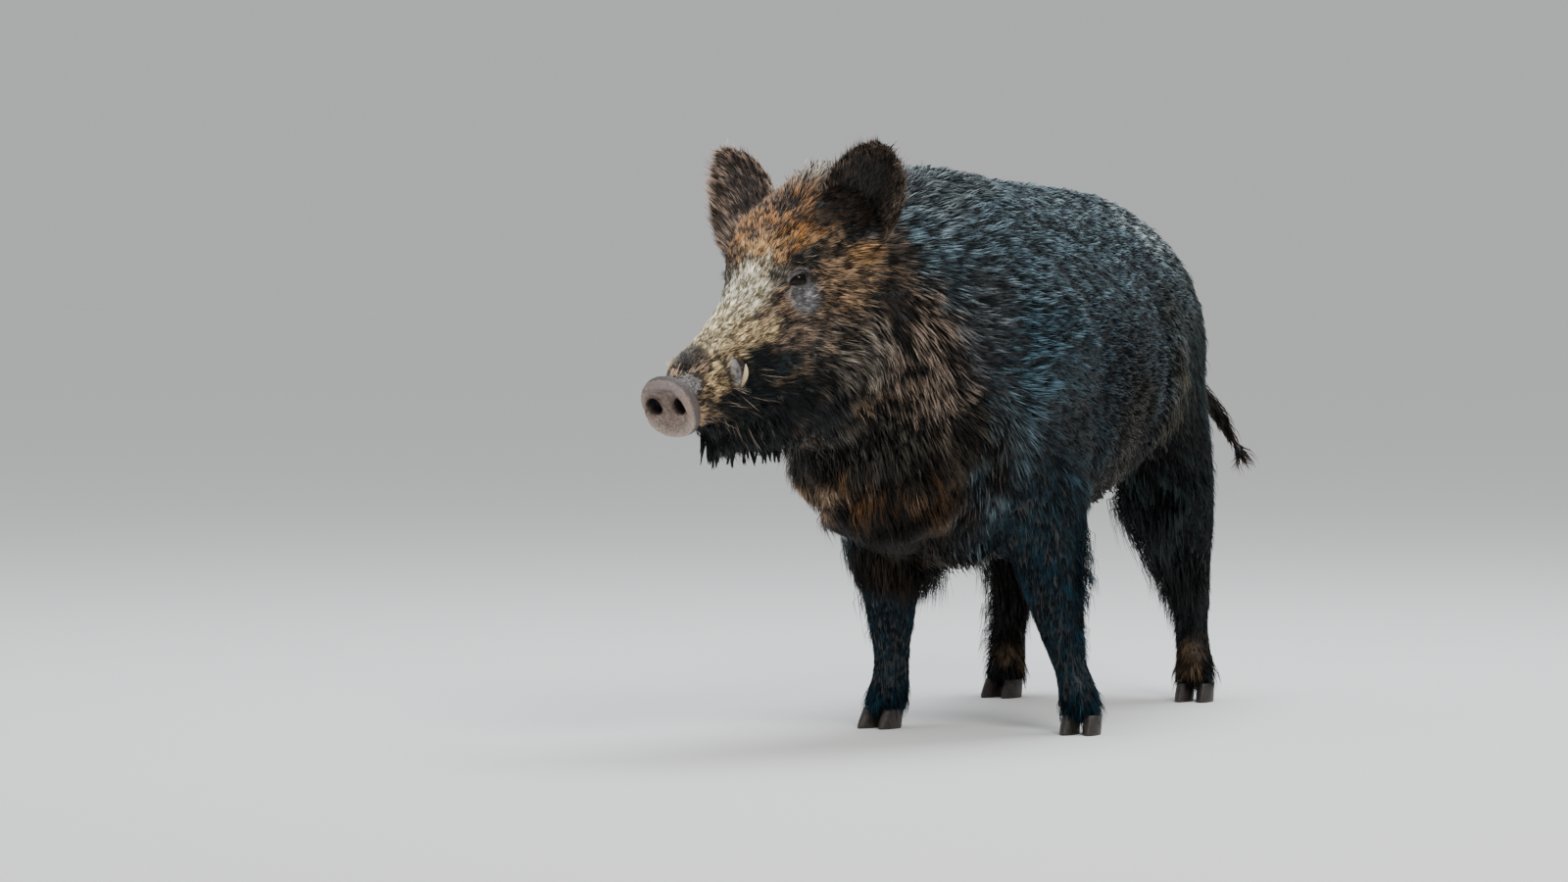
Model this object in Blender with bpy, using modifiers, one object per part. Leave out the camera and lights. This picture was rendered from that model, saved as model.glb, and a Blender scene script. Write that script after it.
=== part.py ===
"""Wild boar, a life-size still model of a standing animal with its head turned to its right.

Lengths are metres, +Z is up. The animal faces -Y and its left side is +X. The solids give the shape out to the
tips of the coat. The flesh is blocked out from lofts and ovals, fused into one closed body, then parted by thin
cuts into the pieces a person would name: head, lower jaw, snout, neck, trunk, tail and four legs. Ears, eyes,
tusks and the claws of the feet are solids of their own, set into the body with a small gap.
"""
import math

import bmesh
import bpy
import numpy as np
from mathutils import Matrix, Vector
from mathutils.bvhtree import BVHTree

# ---------------------------------------------------------------- driving dimensions
WITHERS_HEIGHT = 0.845      # ground to the tips of the mane over the shoulders
HEAD_LENGTH = 0.420         # snout disc to the nape, along the head
GAP = 0.0003                # clearance between pieces set into each other
CUT = 0.0006                # width of the cuts that part the body
FUSE_VOXEL = 0.0065         # grain of the fused body before it is thinned out
BODY_TRIANGLES = 4150       # triangles of the fused body before it is parted
TRUNK_SHARE = 0.68          # what is left of them once the plain trunk and legs are thinned further
RING_POINTS = 40            # points round each loft
SMOOTHING = 22              # smoothing passes over the fused body

HEAD_TURN = 20.0            # degrees the head is turned to the animal's right
HEAD_DROP = 25.0            # degrees the muzzle points below level
SNOUT_AT = (0.640, -0.271, 0.504)   # centre of the snout disc: forward, left, up

EYE_RADIUS = 0.0135
EYE_AT = (0.262, 0.078)     # behind the snout disc and above its centre
EYE_OPENING = 0.022         # width of the ball seen between the lids

COLOURS = {
    "coat_dark": (0.035, 0.038, 0.042),
    "coat_brown": (0.115, 0.080, 0.052),
    "snout_skin": (0.190, 0.125, 0.105),
    "eye": (0.020, 0.010, 0.008),
    "tusk": (0.620, 0.500, 0.330),
    "claw": (0.045, 0.036, 0.032),
}
ROUGHNESS = {"snout_skin": 0.45, "eye": 0.05, "tusk": 0.35, "claw": 0.5}


def place(forward, left, up):
    """A point given as metres forward of the front feet, to the animal's left and above the ground."""
    return Vector((left, -forward, up))


def heading(turn, drop):
    """Forward, left and up directions of a part turned right by turn and dipped by drop, in degrees."""
    t, d = math.radians(turn), math.radians(drop)
    forward = Vector((-math.sin(t) * math.cos(d), -math.cos(t) * math.cos(d), -math.sin(d)))
    left = Vector((math.cos(t), -math.sin(t), 0.0))
    return forward, left, forward.cross(left)


HEAD_FORWARD, HEAD_LEFT, HEAD_UP = heading(HEAD_TURN, HEAD_DROP)
SNOUT = place(*SNOUT_AT)


def on_head(behind, side, above):
    """A point in the head's own frame, measured from the centre of the snout disc."""
    return SNOUT - HEAD_FORWARD * behind + HEAD_LEFT * side + HEAD_UP * above


# ---------------------------------------------------------------- scene and object helpers
def clear_scene():
    for old in list(bpy.data.objects):
        bpy.data.objects.remove(old)
    for block in (bpy.data.meshes, bpy.data.curves, bpy.data.collections):
        for old in list(block):
            block.remove(old)


def material(name):
    made = bpy.data.materials.get(name)
    if made:
        return made
    made = bpy.data.materials.new(name)
    made.use_nodes = True
    shader = made.node_tree.nodes["Principled BSDF"]
    shader.inputs["Base Color"].default_value = (*COLOURS[name], 1.0)
    shader.inputs["Roughness"].default_value = ROUGHNESS.get(name, 0.8)
    shader.inputs["Metallic"].default_value = 0.0
    return made


def new_object(name, mesh, collection):
    made = bpy.data.objects.new(name, mesh)
    collection.objects.link(made)
    return made


def mesh_from(name, build):
    """A mesh filled by build(bm), with its faces turned outwards."""
    bm = bmesh.new()
    build(bm)
    bmesh.ops.recalc_face_normals(bm, faces=bm.faces)
    mesh = bpy.data.meshes.new(name)
    bm.to_mesh(mesh)
    bm.free()
    return mesh


def evaluated(thing):
    """A plain mesh of the object as its modifiers leave it."""
    bpy.context.view_layer.update()
    graph = bpy.context.evaluated_depsgraph_get()
    return bpy.data.meshes.new_from_object(thing.evaluated_get(graph))


def smooth_rows(rows, steps):
    """Rows of section values, filled in between by a Catmull-Rom curve."""
    rows = np.array(rows, float)
    padded = np.vstack([2 * rows[0] - rows[1], rows, 2 * rows[-1] - rows[-2]])
    filled = []
    for i in range(1, len(padded) - 2):
        a, b, c, d = padded[i - 1:i + 3]
        for k in range(steps):
            t = k / steps
            filled.append(0.5 * (2 * b + (c - a) * t + (2 * a - 5 * b + 4 * c - d) * t * t
                                 + (3 * b - a - 3 * c + d) * t ** 3))
    return np.array(filled + [rows[-1]])


def add_loft(bm, rings):
    """Joins closed rings of points into a tube with capped ends."""
    loops = [[bm.verts.new(point) for point in ring] for ring in rings]
    for first, second in zip(loops, loops[1:]):
        count = len(first)
        for i in range(count):
            j = (i + 1) % count
            bm.faces.new((first[i], first[j], second[j], second[i]))
    bm.faces.new(loops[0])
    bm.faces.new(loops[-1])


def oval_ring(centre, side, up, half_width, above, below, fullness=2.0, peak=1.0, count=RING_POINTS):
    """One section: an oval with its own height above and below the centre.

    fullness over 2 squares the section, and peak over 1 draws its upper half in towards a ridge."""
    ring = []
    for i in range(count):
        angle = 2 * math.pi * i / count
        across, rise = math.cos(angle), math.sin(angle)
        x = math.copysign(abs(across) ** (2 / fullness), across) * half_width
        z = math.copysign(abs(rise) ** (2 / fullness), rise) * (above if rise > 0 else below)
        if rise > 0:
            x *= abs(across) ** (peak - 1)
        ring.append(centre + side * x + up * z)
    return ring


def add_oval(bm, centre, radii, forward=Vector((0, -1, 0)), left=Vector((1, 0, 0)), rings=20):
    """A muscle mass: a sphere stretched along its own forward, left and up directions."""
    up = forward.cross(left)
    turn = Matrix((left, forward, up)).transposed().to_4x4()
    size = Matrix.Diagonal((radii[1], radii[0], radii[2], 1.0))
    bmesh.ops.create_uvsphere(bm, u_segments=2 * rings, v_segments=rings, radius=1.0,
                              matrix=Matrix.Translation(centre) @ turn @ size)


# ---------------------------------------------------------------- trunk and neck
# forward, left, top, bottom, half width, height of the widest line, fullness, peak
TRUNK = {
    "tail_head":  (-0.850, -0.034, 0.650, 0.475, 0.056, 0.57, 2.0, 1.0),
    "buttocks":   (-0.824, -0.034, 0.722, 0.410, 0.122, 0.56, 2.0, 1.05),
    "haunches":   (-0.762, -0.034, 0.774, 0.376, 0.161, 0.55, 2.1, 1.15),
    "croup":      (-0.645, -0.034, 0.810, 0.362, 0.177, 0.54, 2.1, 1.25),
    "loin":       (-0.490, -0.034, 0.824, 0.340, 0.184, 0.53, 2.1, 1.3),
    "paunch":     (-0.330, -0.032, 0.831, 0.305, 0.194, 0.52, 2.1, 1.35),
    "ribs":       (-0.170, -0.030, 0.837, 0.278, 0.198, 0.52, 2.1, 1.35),
    "heart":      (-0.030, -0.030, 0.843, 0.262, 0.194, 0.53, 2.1, 1.35),
    "shoulders":  (0.070, -0.034, WITHERS_HEIGHT, 0.262, 0.184, 0.54, 2.1, 1.35),
    "breast":     (0.150, -0.042, 0.848, 0.300, 0.168, 0.55, 2.0, 1.3),
}
# forward, left, turn, dip, half width, above, below, centre height, fullness, peak
NECK = {
    "withers":    (0.020, -0.034, 4.0, 0.0, 0.184, 0.287, 0.270, 0.560, 2.1, 1.3),
    "collar":     (0.120, -0.052, 13.0, 5.0, 0.174, 0.276, 0.268, 0.580, 2.1, 1.3),
    "mid_neck":   (0.205, -0.086, 20.0, 12.0, 0.160, 0.262, 0.262, 0.602, 2.1, 1.2),
    "nape":       (0.280, -0.122, 21.0, 18.0, 0.144, 0.238, 0.250, 0.626, 2.1, 1.1),
    "poll":       (0.330, -0.146, 20.0, 23.0, 0.118, 0.196, 0.220, 0.640, 2.1, 1.0),
}


def trunk_rings():
    rings = []
    for forward, left, top, bottom, width, middle, fullness, peak in smooth_rows(list(TRUNK.values()), 5):
        rings.append(oval_ring(place(forward, left, middle), Vector((1, 0, 0)), Vector((0, 0, 1)),
                               width, top - middle, middle - bottom, fullness, peak))
    return rings


def neck_rings():
    rings = []
    for forward, left, turn, dip, width, above, below, middle, fullness, peak in smooth_rows(list(NECK.values()), 5):
        _, side, up = heading(turn, dip)
        rings.append(oval_ring(place(forward, left, middle), side, up, width, above, below, fullness, peak))
    return rings


# ---------------------------------------------------------------- head
# behind the disc, top, bottom, half width, height of the widest line, fullness, peak
HEAD = {
    "rim":        (-0.004, 0.043, -0.043, 0.046, 0.000, 2.2, 1.0),
    "disc_back":  (0.010, 0.045, -0.045, 0.048, 0.000, 2.2, 1.0),
    "groove":     (0.026, 0.041, -0.048, 0.041, -0.004, 2.2, 1.0),
    "lip":        (0.055, 0.049, -0.072, 0.043, -0.010, 2.2, 1.0),
    "canine":     (0.100, 0.061, -0.092, 0.055, -0.016, 2.3, 1.0),
    "muzzle":     (0.145, 0.070, -0.104, 0.060, -0.020, 2.3, 1.0),
    "bridge":     (0.190, 0.082, -0.114, 0.070, -0.024, 2.2, 1.0),
    "under_eye":  (0.230, 0.099, -0.124, 0.086, -0.026, 2.1, 1.0),
    "eye_line":   (0.265, 0.121, -0.132, 0.096, -0.026, 2.1, 1.0),
    "brow":       (0.300, 0.142, -0.138, 0.108, -0.026, 2.2, 1.0),
    "forehead":   (0.340, 0.160, -0.143, 0.122, -0.024, 2.3, 1.0),
    "ear_line":   (0.380, 0.170, -0.146, 0.126, -0.020, 2.3, 1.0),
    "occiput":    (HEAD_LENGTH, 0.168, -0.146, 0.122, -0.016, 2.2, 1.0),
    "neck_root":  (0.470, 0.150, -0.140, 0.112, -0.010, 2.0, 1.0),
}


def head_rings():
    rings = []
    for behind, top, bottom, width, middle, fullness, peak in smooth_rows(list(HEAD.values()), 5):
        rings.append(oval_ring(on_head(behind, 0, middle), HEAD_LEFT, HEAD_UP, width,
                               top - middle, middle - bottom, fullness, peak))
    return rings


def add_head_masses(bm):
    def mass(behind, side, above, length, width, height):
        add_oval(bm, on_head(behind, side, above), (length, width, height), HEAD_FORWARD, HEAD_LEFT)

    for side in (1, -1):
        mass(0.330, side * 0.060, -0.056, 0.100, 0.066, 0.086)      # jowl
        mass(0.285, side * 0.058, 0.020, 0.085, 0.036, 0.040)       # cheekbone
        mass(0.300, side * 0.050, 0.096, 0.050, 0.032, 0.026)       # brow
        mass(0.088, side * 0.041, 0.004, 0.022, 0.017, 0.022)       # lip over the tusk
    mass(0.098, 0.0, -0.090, 0.050, 0.034, 0.036)                   # chin with its beard
    mass(0.225, 0.0, -0.106, 0.120, 0.070, 0.058)                   # hair under the jaw
    mass(0.330, 0.0, -0.135, 0.110, 0.100, 0.085)                   # ruff of the throat


# ---------------------------------------------------------------- legs
# forward, left, up, half length fore and aft, half width
LEG = {
    "foreleg_left": {
        "shoulder": (0.050, 0.070, 0.520, 0.125, 0.070),
        "elbow":    (0.000, 0.086, 0.375, 0.112, 0.076),
        "forearm":  (-0.002, 0.092, 0.290, 0.088, 0.064),
        "cannon":   (0.002, 0.106, 0.218, 0.060, 0.051),
        "knee":     (0.010, 0.118, 0.158, 0.042, 0.039),
        "shin":     (0.006, 0.134, 0.102, 0.033, 0.030),
        "fetlock":  (0.004, 0.146, 0.066, 0.038, 0.034),
        "coronet":  (0.020, 0.156, 0.028, 0.038, 0.036),
    },
    "foreleg_right": {
        "shoulder": (0.050, -0.128, 0.520, 0.125, 0.070),
        "elbow":    (0.002, -0.146, 0.375, 0.112, 0.074),
        "forearm":  (0.000, -0.152, 0.285, 0.090, 0.062),
        "cannon":   (0.000, -0.152, 0.212, 0.060, 0.047),
        "knee":     (0.002, -0.151, 0.155, 0.042, 0.037),
        "shin":     (-0.008, -0.154, 0.102, 0.033, 0.031),
        "fetlock":  (-0.014, -0.159, 0.066, 0.038, 0.034),
        "coronet":  (0.000, -0.164, 0.028, 0.038, 0.037),
    },
    "hindleg_left": {
        "thigh":    (-0.665, 0.060, 0.540, 0.140, 0.078),
        "stifle":   (-0.655, 0.080, 0.400, 0.126, 0.080),
        "gaskin":   (-0.678, 0.090, 0.310, 0.092, 0.071),
        "shank":    (-0.706, 0.096, 0.248, 0.063, 0.055),
        "hock":     (-0.730, 0.101, 0.195, 0.047, 0.040),
        "cannon":   (-0.718, 0.110, 0.115, 0.032, 0.030),
        "fetlock":  (-0.702, 0.119, 0.064, 0.038, 0.034),
        "coronet":  (-0.684, 0.125, 0.028, 0.038, 0.036),
    },
    "hindleg_right": {
        "thigh":    (-0.665, -0.125, 0.540, 0.140, 0.078),
        "stifle":   (-0.652, -0.152, 0.400, 0.126, 0.080),
        "gaskin":   (-0.672, -0.168, 0.310, 0.092, 0.069),
        "shank":    (-0.698, -0.180, 0.248, 0.063, 0.053),
        "hock":     (-0.720, -0.189, 0.195, 0.047, 0.039),
        "cannon":   (-0.706, -0.193, 0.115, 0.032, 0.031),
        "fetlock":  (-0.688, -0.191, 0.064, 0.038, 0.034),
        "coronet":  (-0.668, -0.188, 0.028, 0.038, 0.036),
    },
}


def leg_rings(joints):
    rings = []
    for forward, left, up, half_length, half_width in smooth_rows(list(joints.values()), 6):
        ring = []
        for i in range(RING_POINTS):
            angle = 2 * math.pi * i / RING_POINTS
            ring.append(place(forward + half_length * math.sin(angle), left + half_width * math.cos(angle), up))
        rings.append(ring)
    return rings


def add_body_masses(bm):
    # shoulder blades and haunches, and the breast with its ruff
    for side in (1, -1):
        add_oval(bm, place(0.045, -0.034 + side * 0.110, 0.500), (0.155, 0.076, 0.200))
        add_oval(bm, place(-0.680, -0.034 + side * 0.090, 0.500), (0.155, 0.080, 0.170))
    add_oval(bm, place(0.176, -0.104, 0.424), (0.120, 0.156, 0.148), *heading(10, 15)[:2])


# ---------------------------------------------------------------- tail
TAIL = {    # forward, left, up, radius
    "root":   (-0.804, -0.034, 0.660, 0.032),
    "dock":   (-0.852, -0.026, 0.632, 0.027),
    "upper":  (-0.876, 0.016, 0.575, 0.022),
    "middle": (-0.886, 0.066, 0.505, 0.020),
    "tassel": (-0.890, 0.110, 0.440, 0.023),
    "tip":    (-0.896, 0.152, 0.370, 0.006),
}


def tail_rings():
    rings = []
    stations = smooth_rows(list(TAIL.values()), 5)
    for i, (forward, left, up, radius) in enumerate(stations):
        before, after = stations[max(i - 1, 0)], stations[min(i + 1, len(stations) - 1)]
        along = (place(*after[:3]) - place(*before[:3])).normalized()
        side = along.cross(Vector((0, 0, 1))).normalized()
        rings.append(oval_ring(place(forward, left, up), side, side.cross(along), radius, radius, radius))
    return rings


# ---------------------------------------------------------------- fused body
def fused_body(scratch):
    """All flesh as one closed, evenly smoothed surface."""
    lofts = [trunk_rings(), neck_rings(), head_rings(), tail_rings()]
    lofts += [leg_rings(joints) for joints in LEG.values()]

    def build(bm):
        for rings in lofts:
            add_loft(bm, rings)
        add_body_masses(bm)
        add_head_masses(bm)

    blocks = new_object("flesh_blocks", mesh_from("flesh_blocks", build), scratch)
    fuse = blocks.modifiers.new("fuse", "REMESH")
    fuse.mode = "VOXEL"
    fuse.voxel_size = FUSE_VOXEL
    soften = blocks.modifiers.new("soften", "SMOOTH")
    soften.factor = 0.5
    soften.iterations = SMOOTHING
    body = new_object("body", evaluated(blocks), scratch)
    bpy.data.objects.remove(blocks)
    thin = body.modifiers.new("thin", "DECIMATE")
    thin.ratio = BODY_TRIANGLES / (2 * len(body.data.polygons))
    body.data = evaluated(body)
    plain = body.vertex_groups.new(name="plain")
    plain.add([v.index for v in body.data.vertices if (SNOUT - v.co).dot(HEAD_FORWARD) > 0.46], 1.0, "REPLACE")
    thin.vertex_group = "plain"
    thin.ratio = TRUNK_SHARE
    body.data = evaluated(body)
    body.modifiers.clear()
    return body


# ---------------------------------------------------------------- cutting
def boolean(thing, cutter, operation):
    """Applies one exact Boolean to a piece."""
    step = thing.modifiers.new("cut", "BOOLEAN")
    step.solver = "EXACT"
    step.operation = operation
    step.object = cutter
    thing.data = evaluated(thing)
    thing.modifiers.clear()


def box(name, corner, reach, forward, left, scratch):
    """A cutter block: corner is the middle of its front face, reach is its length, width and height."""
    up = forward.cross(left)

    def build(bm):
        turn = Matrix((left, forward, up)).transposed().to_4x4()
        size = Matrix.Diagonal((reach[1], reach[0], reach[2], 1.0))
        middle = Matrix.Translation(corner - forward * reach[0] / 2)
        bmesh.ops.create_cube(bm, size=1.0, matrix=middle @ turn @ size)

    cutter = new_object(name, mesh_from(name, build), scratch)
    cutter.hide_render = True
    cutter.display_type = "WIRE"
    return cutter


def grown(source, name, distance, scratch):
    """A copy of a cutter or piece, pushed out along its normals."""
    copy = new_object(name, source.data.copy(), scratch)
    copy.hide_render = True
    copy.display_type = "WIRE"
    bm = bmesh.new()
    bm.from_mesh(copy.data)
    bm.normal_update()
    moved = [(v, v.co + v.normal * distance * v.calc_shell_factor()) for v in bm.verts]
    for v, co in moved:
        v.co = co
    bm.to_mesh(copy.data)
    bm.free()
    return copy


def take(body, name, region, parts, scratch):
    """Moves what lies inside the region out of the body into a piece of its own, leaving a thin gap."""
    piece = new_object(name, body.data.copy(), parts)
    boolean(piece, region, "INTERSECT")
    boolean(body, grown(region, region.name + "_gap", CUT, scratch), "DIFFERENCE")
    return piece


def largest_shell(mesh):
    """Keeps the biggest connected shell of a mesh."""
    bm = bmesh.new()
    bm.from_mesh(mesh)
    todo, shells = set(bm.verts), []
    while todo:
        stack = [todo.pop()]
        shell = set(stack)
        while stack:
            for edge in stack.pop().link_edges:
                for v in edge.verts:
                    if v in todo:
                        todo.discard(v)
                        shell.add(v)
                        stack.append(v)
        shells.append(shell)
    shells.sort(key=len, reverse=True)
    for shell in shells[1:]:
        bmesh.ops.delete(bm, geom=list(shell), context="VERTS")
    bm.to_mesh(mesh)
    bm.free()
    return len(shells)


# ---------------------------------------------------------------- regions of the cuts
# up, centre forward, centre left, half length, half width of the column each leg is taken from
FORELEG_REGION = [(-0.020, 0.00, 0.165, 0.120, 0.115), (0.285, 0.00, 0.150, 0.160, 0.115),
                  (0.400, 0.02, 0.180, 0.155, 0.113), (0.490, 0.03, 0.205, 0.125, 0.108),
                  (0.550, 0.04, 0.225, 0.085, 0.100), (0.585, 0.04, 0.240, 0.030, 0.060)]
HINDLEG_REGION = [(-0.020, -0.69, 0.150, 0.110, 0.105), (0.300, -0.68, 0.140, 0.175, 0.110),
                  (0.410, -0.67, 0.168, 0.178, 0.115), (0.530, -0.68, 0.205, 0.145, 0.110),
                  (0.590, -0.69, 0.225, 0.105, 0.100), (0.630, -0.69, 0.240, 0.040, 0.060)]


def leg_region(name, table, side, scratch):
    def build(bm):
        rings = []
        for up, forward, left, half_length, half_width in table:
            ring = []
            for i in range(14):
                angle = 2 * math.pi * (i + 0.5) / 14
                ring.append(place(forward + half_length * math.sin(angle),
                                  -0.034 + side * (left + half_width * math.cos(angle)), up))
            rings.append(ring)
        add_loft(bm, rings)

    cutter = new_object(name, mesh_from(name, build), scratch)
    cutter.hide_render = True
    cutter.display_type = "WIRE"
    return cutter


# ---------------------------------------------------------------- ears
EAR_LENGTH = 0.184
EAR_WALL = 0.013
# along the ear, half width across the opening, half angle the shell wraps round, shift back
EAR = [(0.00, 0.034, 100.0), (0.12, 0.048, 92.0), (0.28, 0.0605, 80.0), (0.45, 0.0640, 70.0), (0.62, 0.0605, 62.0),
       (0.77, 0.0510, 56.0), (0.89, 0.036, 52.0), (0.97, 0.019, 50.0), (1.00, 0.007, 50.0)]
EAR_SET = {     # base and tip (behind, side, above), degrees the opening looks outwards from straight ahead
    1: ((0.370, 0.083, 0.092), (0.434, 0.143, 0.209), 28.0),
    -1: ((0.428, 0.154, 0.074), (0.472, 0.196, 0.192), -4.0),
}


def ear_frame(side):
    base, tip, faces = EAR_SET[side]
    base = on_head(base[0], side * base[1], base[2])
    tip = on_head(tip[0], side * tip[1], tip[2])
    along = (tip - base).normalized()
    level = Vector((HEAD_FORWARD.x, HEAD_FORWARD.y, 0)).normalized()
    turn = math.radians(faces)
    looks = level * math.cos(turn) + HEAD_LEFT * (side * math.sin(turn))
    across = along.cross(looks).normalized()
    return tip - along * EAR_LENGTH, along, across, across.cross(along)


def add_ear(bm, side):
    """A curled shell, open towards the front, that closes to a rounded tip."""
    base, along, across, looks = ear_frame(side)
    rings = []
    for t, half, wrap in EAR:
        wrap = math.radians(wrap)
        radius = half / math.sin(min(wrap, math.pi / 2))
        wall = min(EAR_WALL, half * 1.2)
        centre = base + along * (t * EAR_LENGTH) + looks * (radius * math.cos(wrap) * 0.5)
        outer, inner = [], []
        for i in range(9):
            angle = -wrap + 2 * wrap * i / 8
            edge = max(math.cos(0.5 * math.pi * angle / wrap), 0.0) ** 0.5
            spoke = across * math.sin(angle) - looks * math.cos(angle)
            outer.append(centre + spoke * radius)
            inner.append(centre + spoke * (radius - wall * (0.25 + 0.75 * edge)))
        rings.append(outer + inner[::-1])
    add_loft(bm, rings)


# ---------------------------------------------------------------- tusks, eyes, claws, snout
TUSK = [    # behind, side, above, radius
    (0.094, 0.036, -0.030, 0.0075), (0.096, 0.046, -0.020, 0.0072), (0.100, 0.054, -0.008, 0.0064),
    (0.105, 0.0595, 0.004, 0.0050), (0.110, 0.0625, 0.014, 0.0032), (0.113, 0.0635, 0.020, 0.0012),
]


def add_tusk(bm, side):
    rings = []
    points = [on_head(b, side * s, u) for b, s, u, _ in TUSK]
    for i, (point, row) in enumerate(zip(points, TUSK)):
        along = (points[min(i + 1, len(points) - 1)] - points[max(i - 1, 0)]).normalized()
        across = along.cross(HEAD_FORWARD).normalized()
        depth = along.cross(across)
        rings.append([point + across * (row[3] * 0.75 * math.cos(a)) + depth * (row[3] * math.sin(a))
                      for a in [2 * math.pi * k / 9 for k in range(9)]])
    add_loft(bm, rings)


def eye_centre(surface, side):
    """Sinks the ball under the coat of the face until only the opening of the lids is left."""
    aside = on_head(EYE_AT[0], side * 0.20, EYE_AT[1])
    hit, normal, _, _ = surface.ray_cast(aside, -HEAD_LEFT * side)
    return hit - normal * math.sqrt(EYE_RADIUS ** 2 - (EYE_OPENING / 2) ** 2)


SNOUT_RINGS = [(-0.0056, 0.034), (-0.0040, 0.0420), (-0.0005, 0.0460), (0.0050, 0.0477), (0.0100, 0.0468),
               (0.0150, 0.0420)]
SNOUT_BACK = 0.0150
NOSTRIL = (0.0215, 0.002, 0.0098, 0.0108)   # side, above, half width, half height


def add_snout(bm):
    """The disc of the nose, a little squarer than round."""
    rings = []
    for behind, radius in SNOUT_RINGS:
        rings.append(oval_ring(on_head(behind, 0, 0), HEAD_LEFT, HEAD_UP, radius * 1.0, radius * 0.95,
                               radius * 0.97, 2.25, count=28))
    add_loft(bm, rings)


FEET = {    # forward, left, turn of the toes to the right in degrees
    "foreleg_left":  (0.022, 0.158, -4.0),
    "foreleg_right": (0.002, -0.165, 10.0),
    "hindleg_left":  (-0.682, 0.127, -3.0),
    "hindleg_right": (-0.666, -0.189, 8.0),
}
COLLAR_HEIGHT = 0.030       # the coat of the foot ends here, above the claws
# up, middle forward, half length, half width of a main claw
CLAW = [(0.000, 0.010, 0.0325, 0.0146), (0.006, 0.010, 0.0325, 0.0150), (0.020, 0.004, 0.0280, 0.0150),
        (COLLAR_HEIGHT - GAP, 0.000, 0.0235, 0.0146)]
DEWCLAW = [(0.026, -0.046, 0.0020, 0.0020), (0.032, -0.043, 0.0060, 0.0055), (0.042, -0.038, 0.0085, 0.0070),
           (0.052, -0.032, 0.0085, 0.0070)]


def claw_rings(foot, inner_or_outer, table, spread, splay):
    forward, left, turn = FEET[foot]
    ahead, side, _ = heading(turn + splay * inner_or_outer, 0.0)
    centre = place(forward, left, 0.0) + heading(turn, 0.0)[1] * (spread * inner_or_outer)
    rings = []
    for up, shift, half_length, half_width in table:
        ring = []
        for i in range(10):
            angle = 2 * math.pi * (i + 0.5) / 10
            reach = math.sin(angle)
            width = half_width * math.cos(angle) * (1.0 - 0.28 * max(reach, 0.0))
            ring.append(centre + ahead * (shift + half_length * reach) + side * width + Vector((0, 0, up)))
        rings.append(ring)
    return rings


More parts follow.
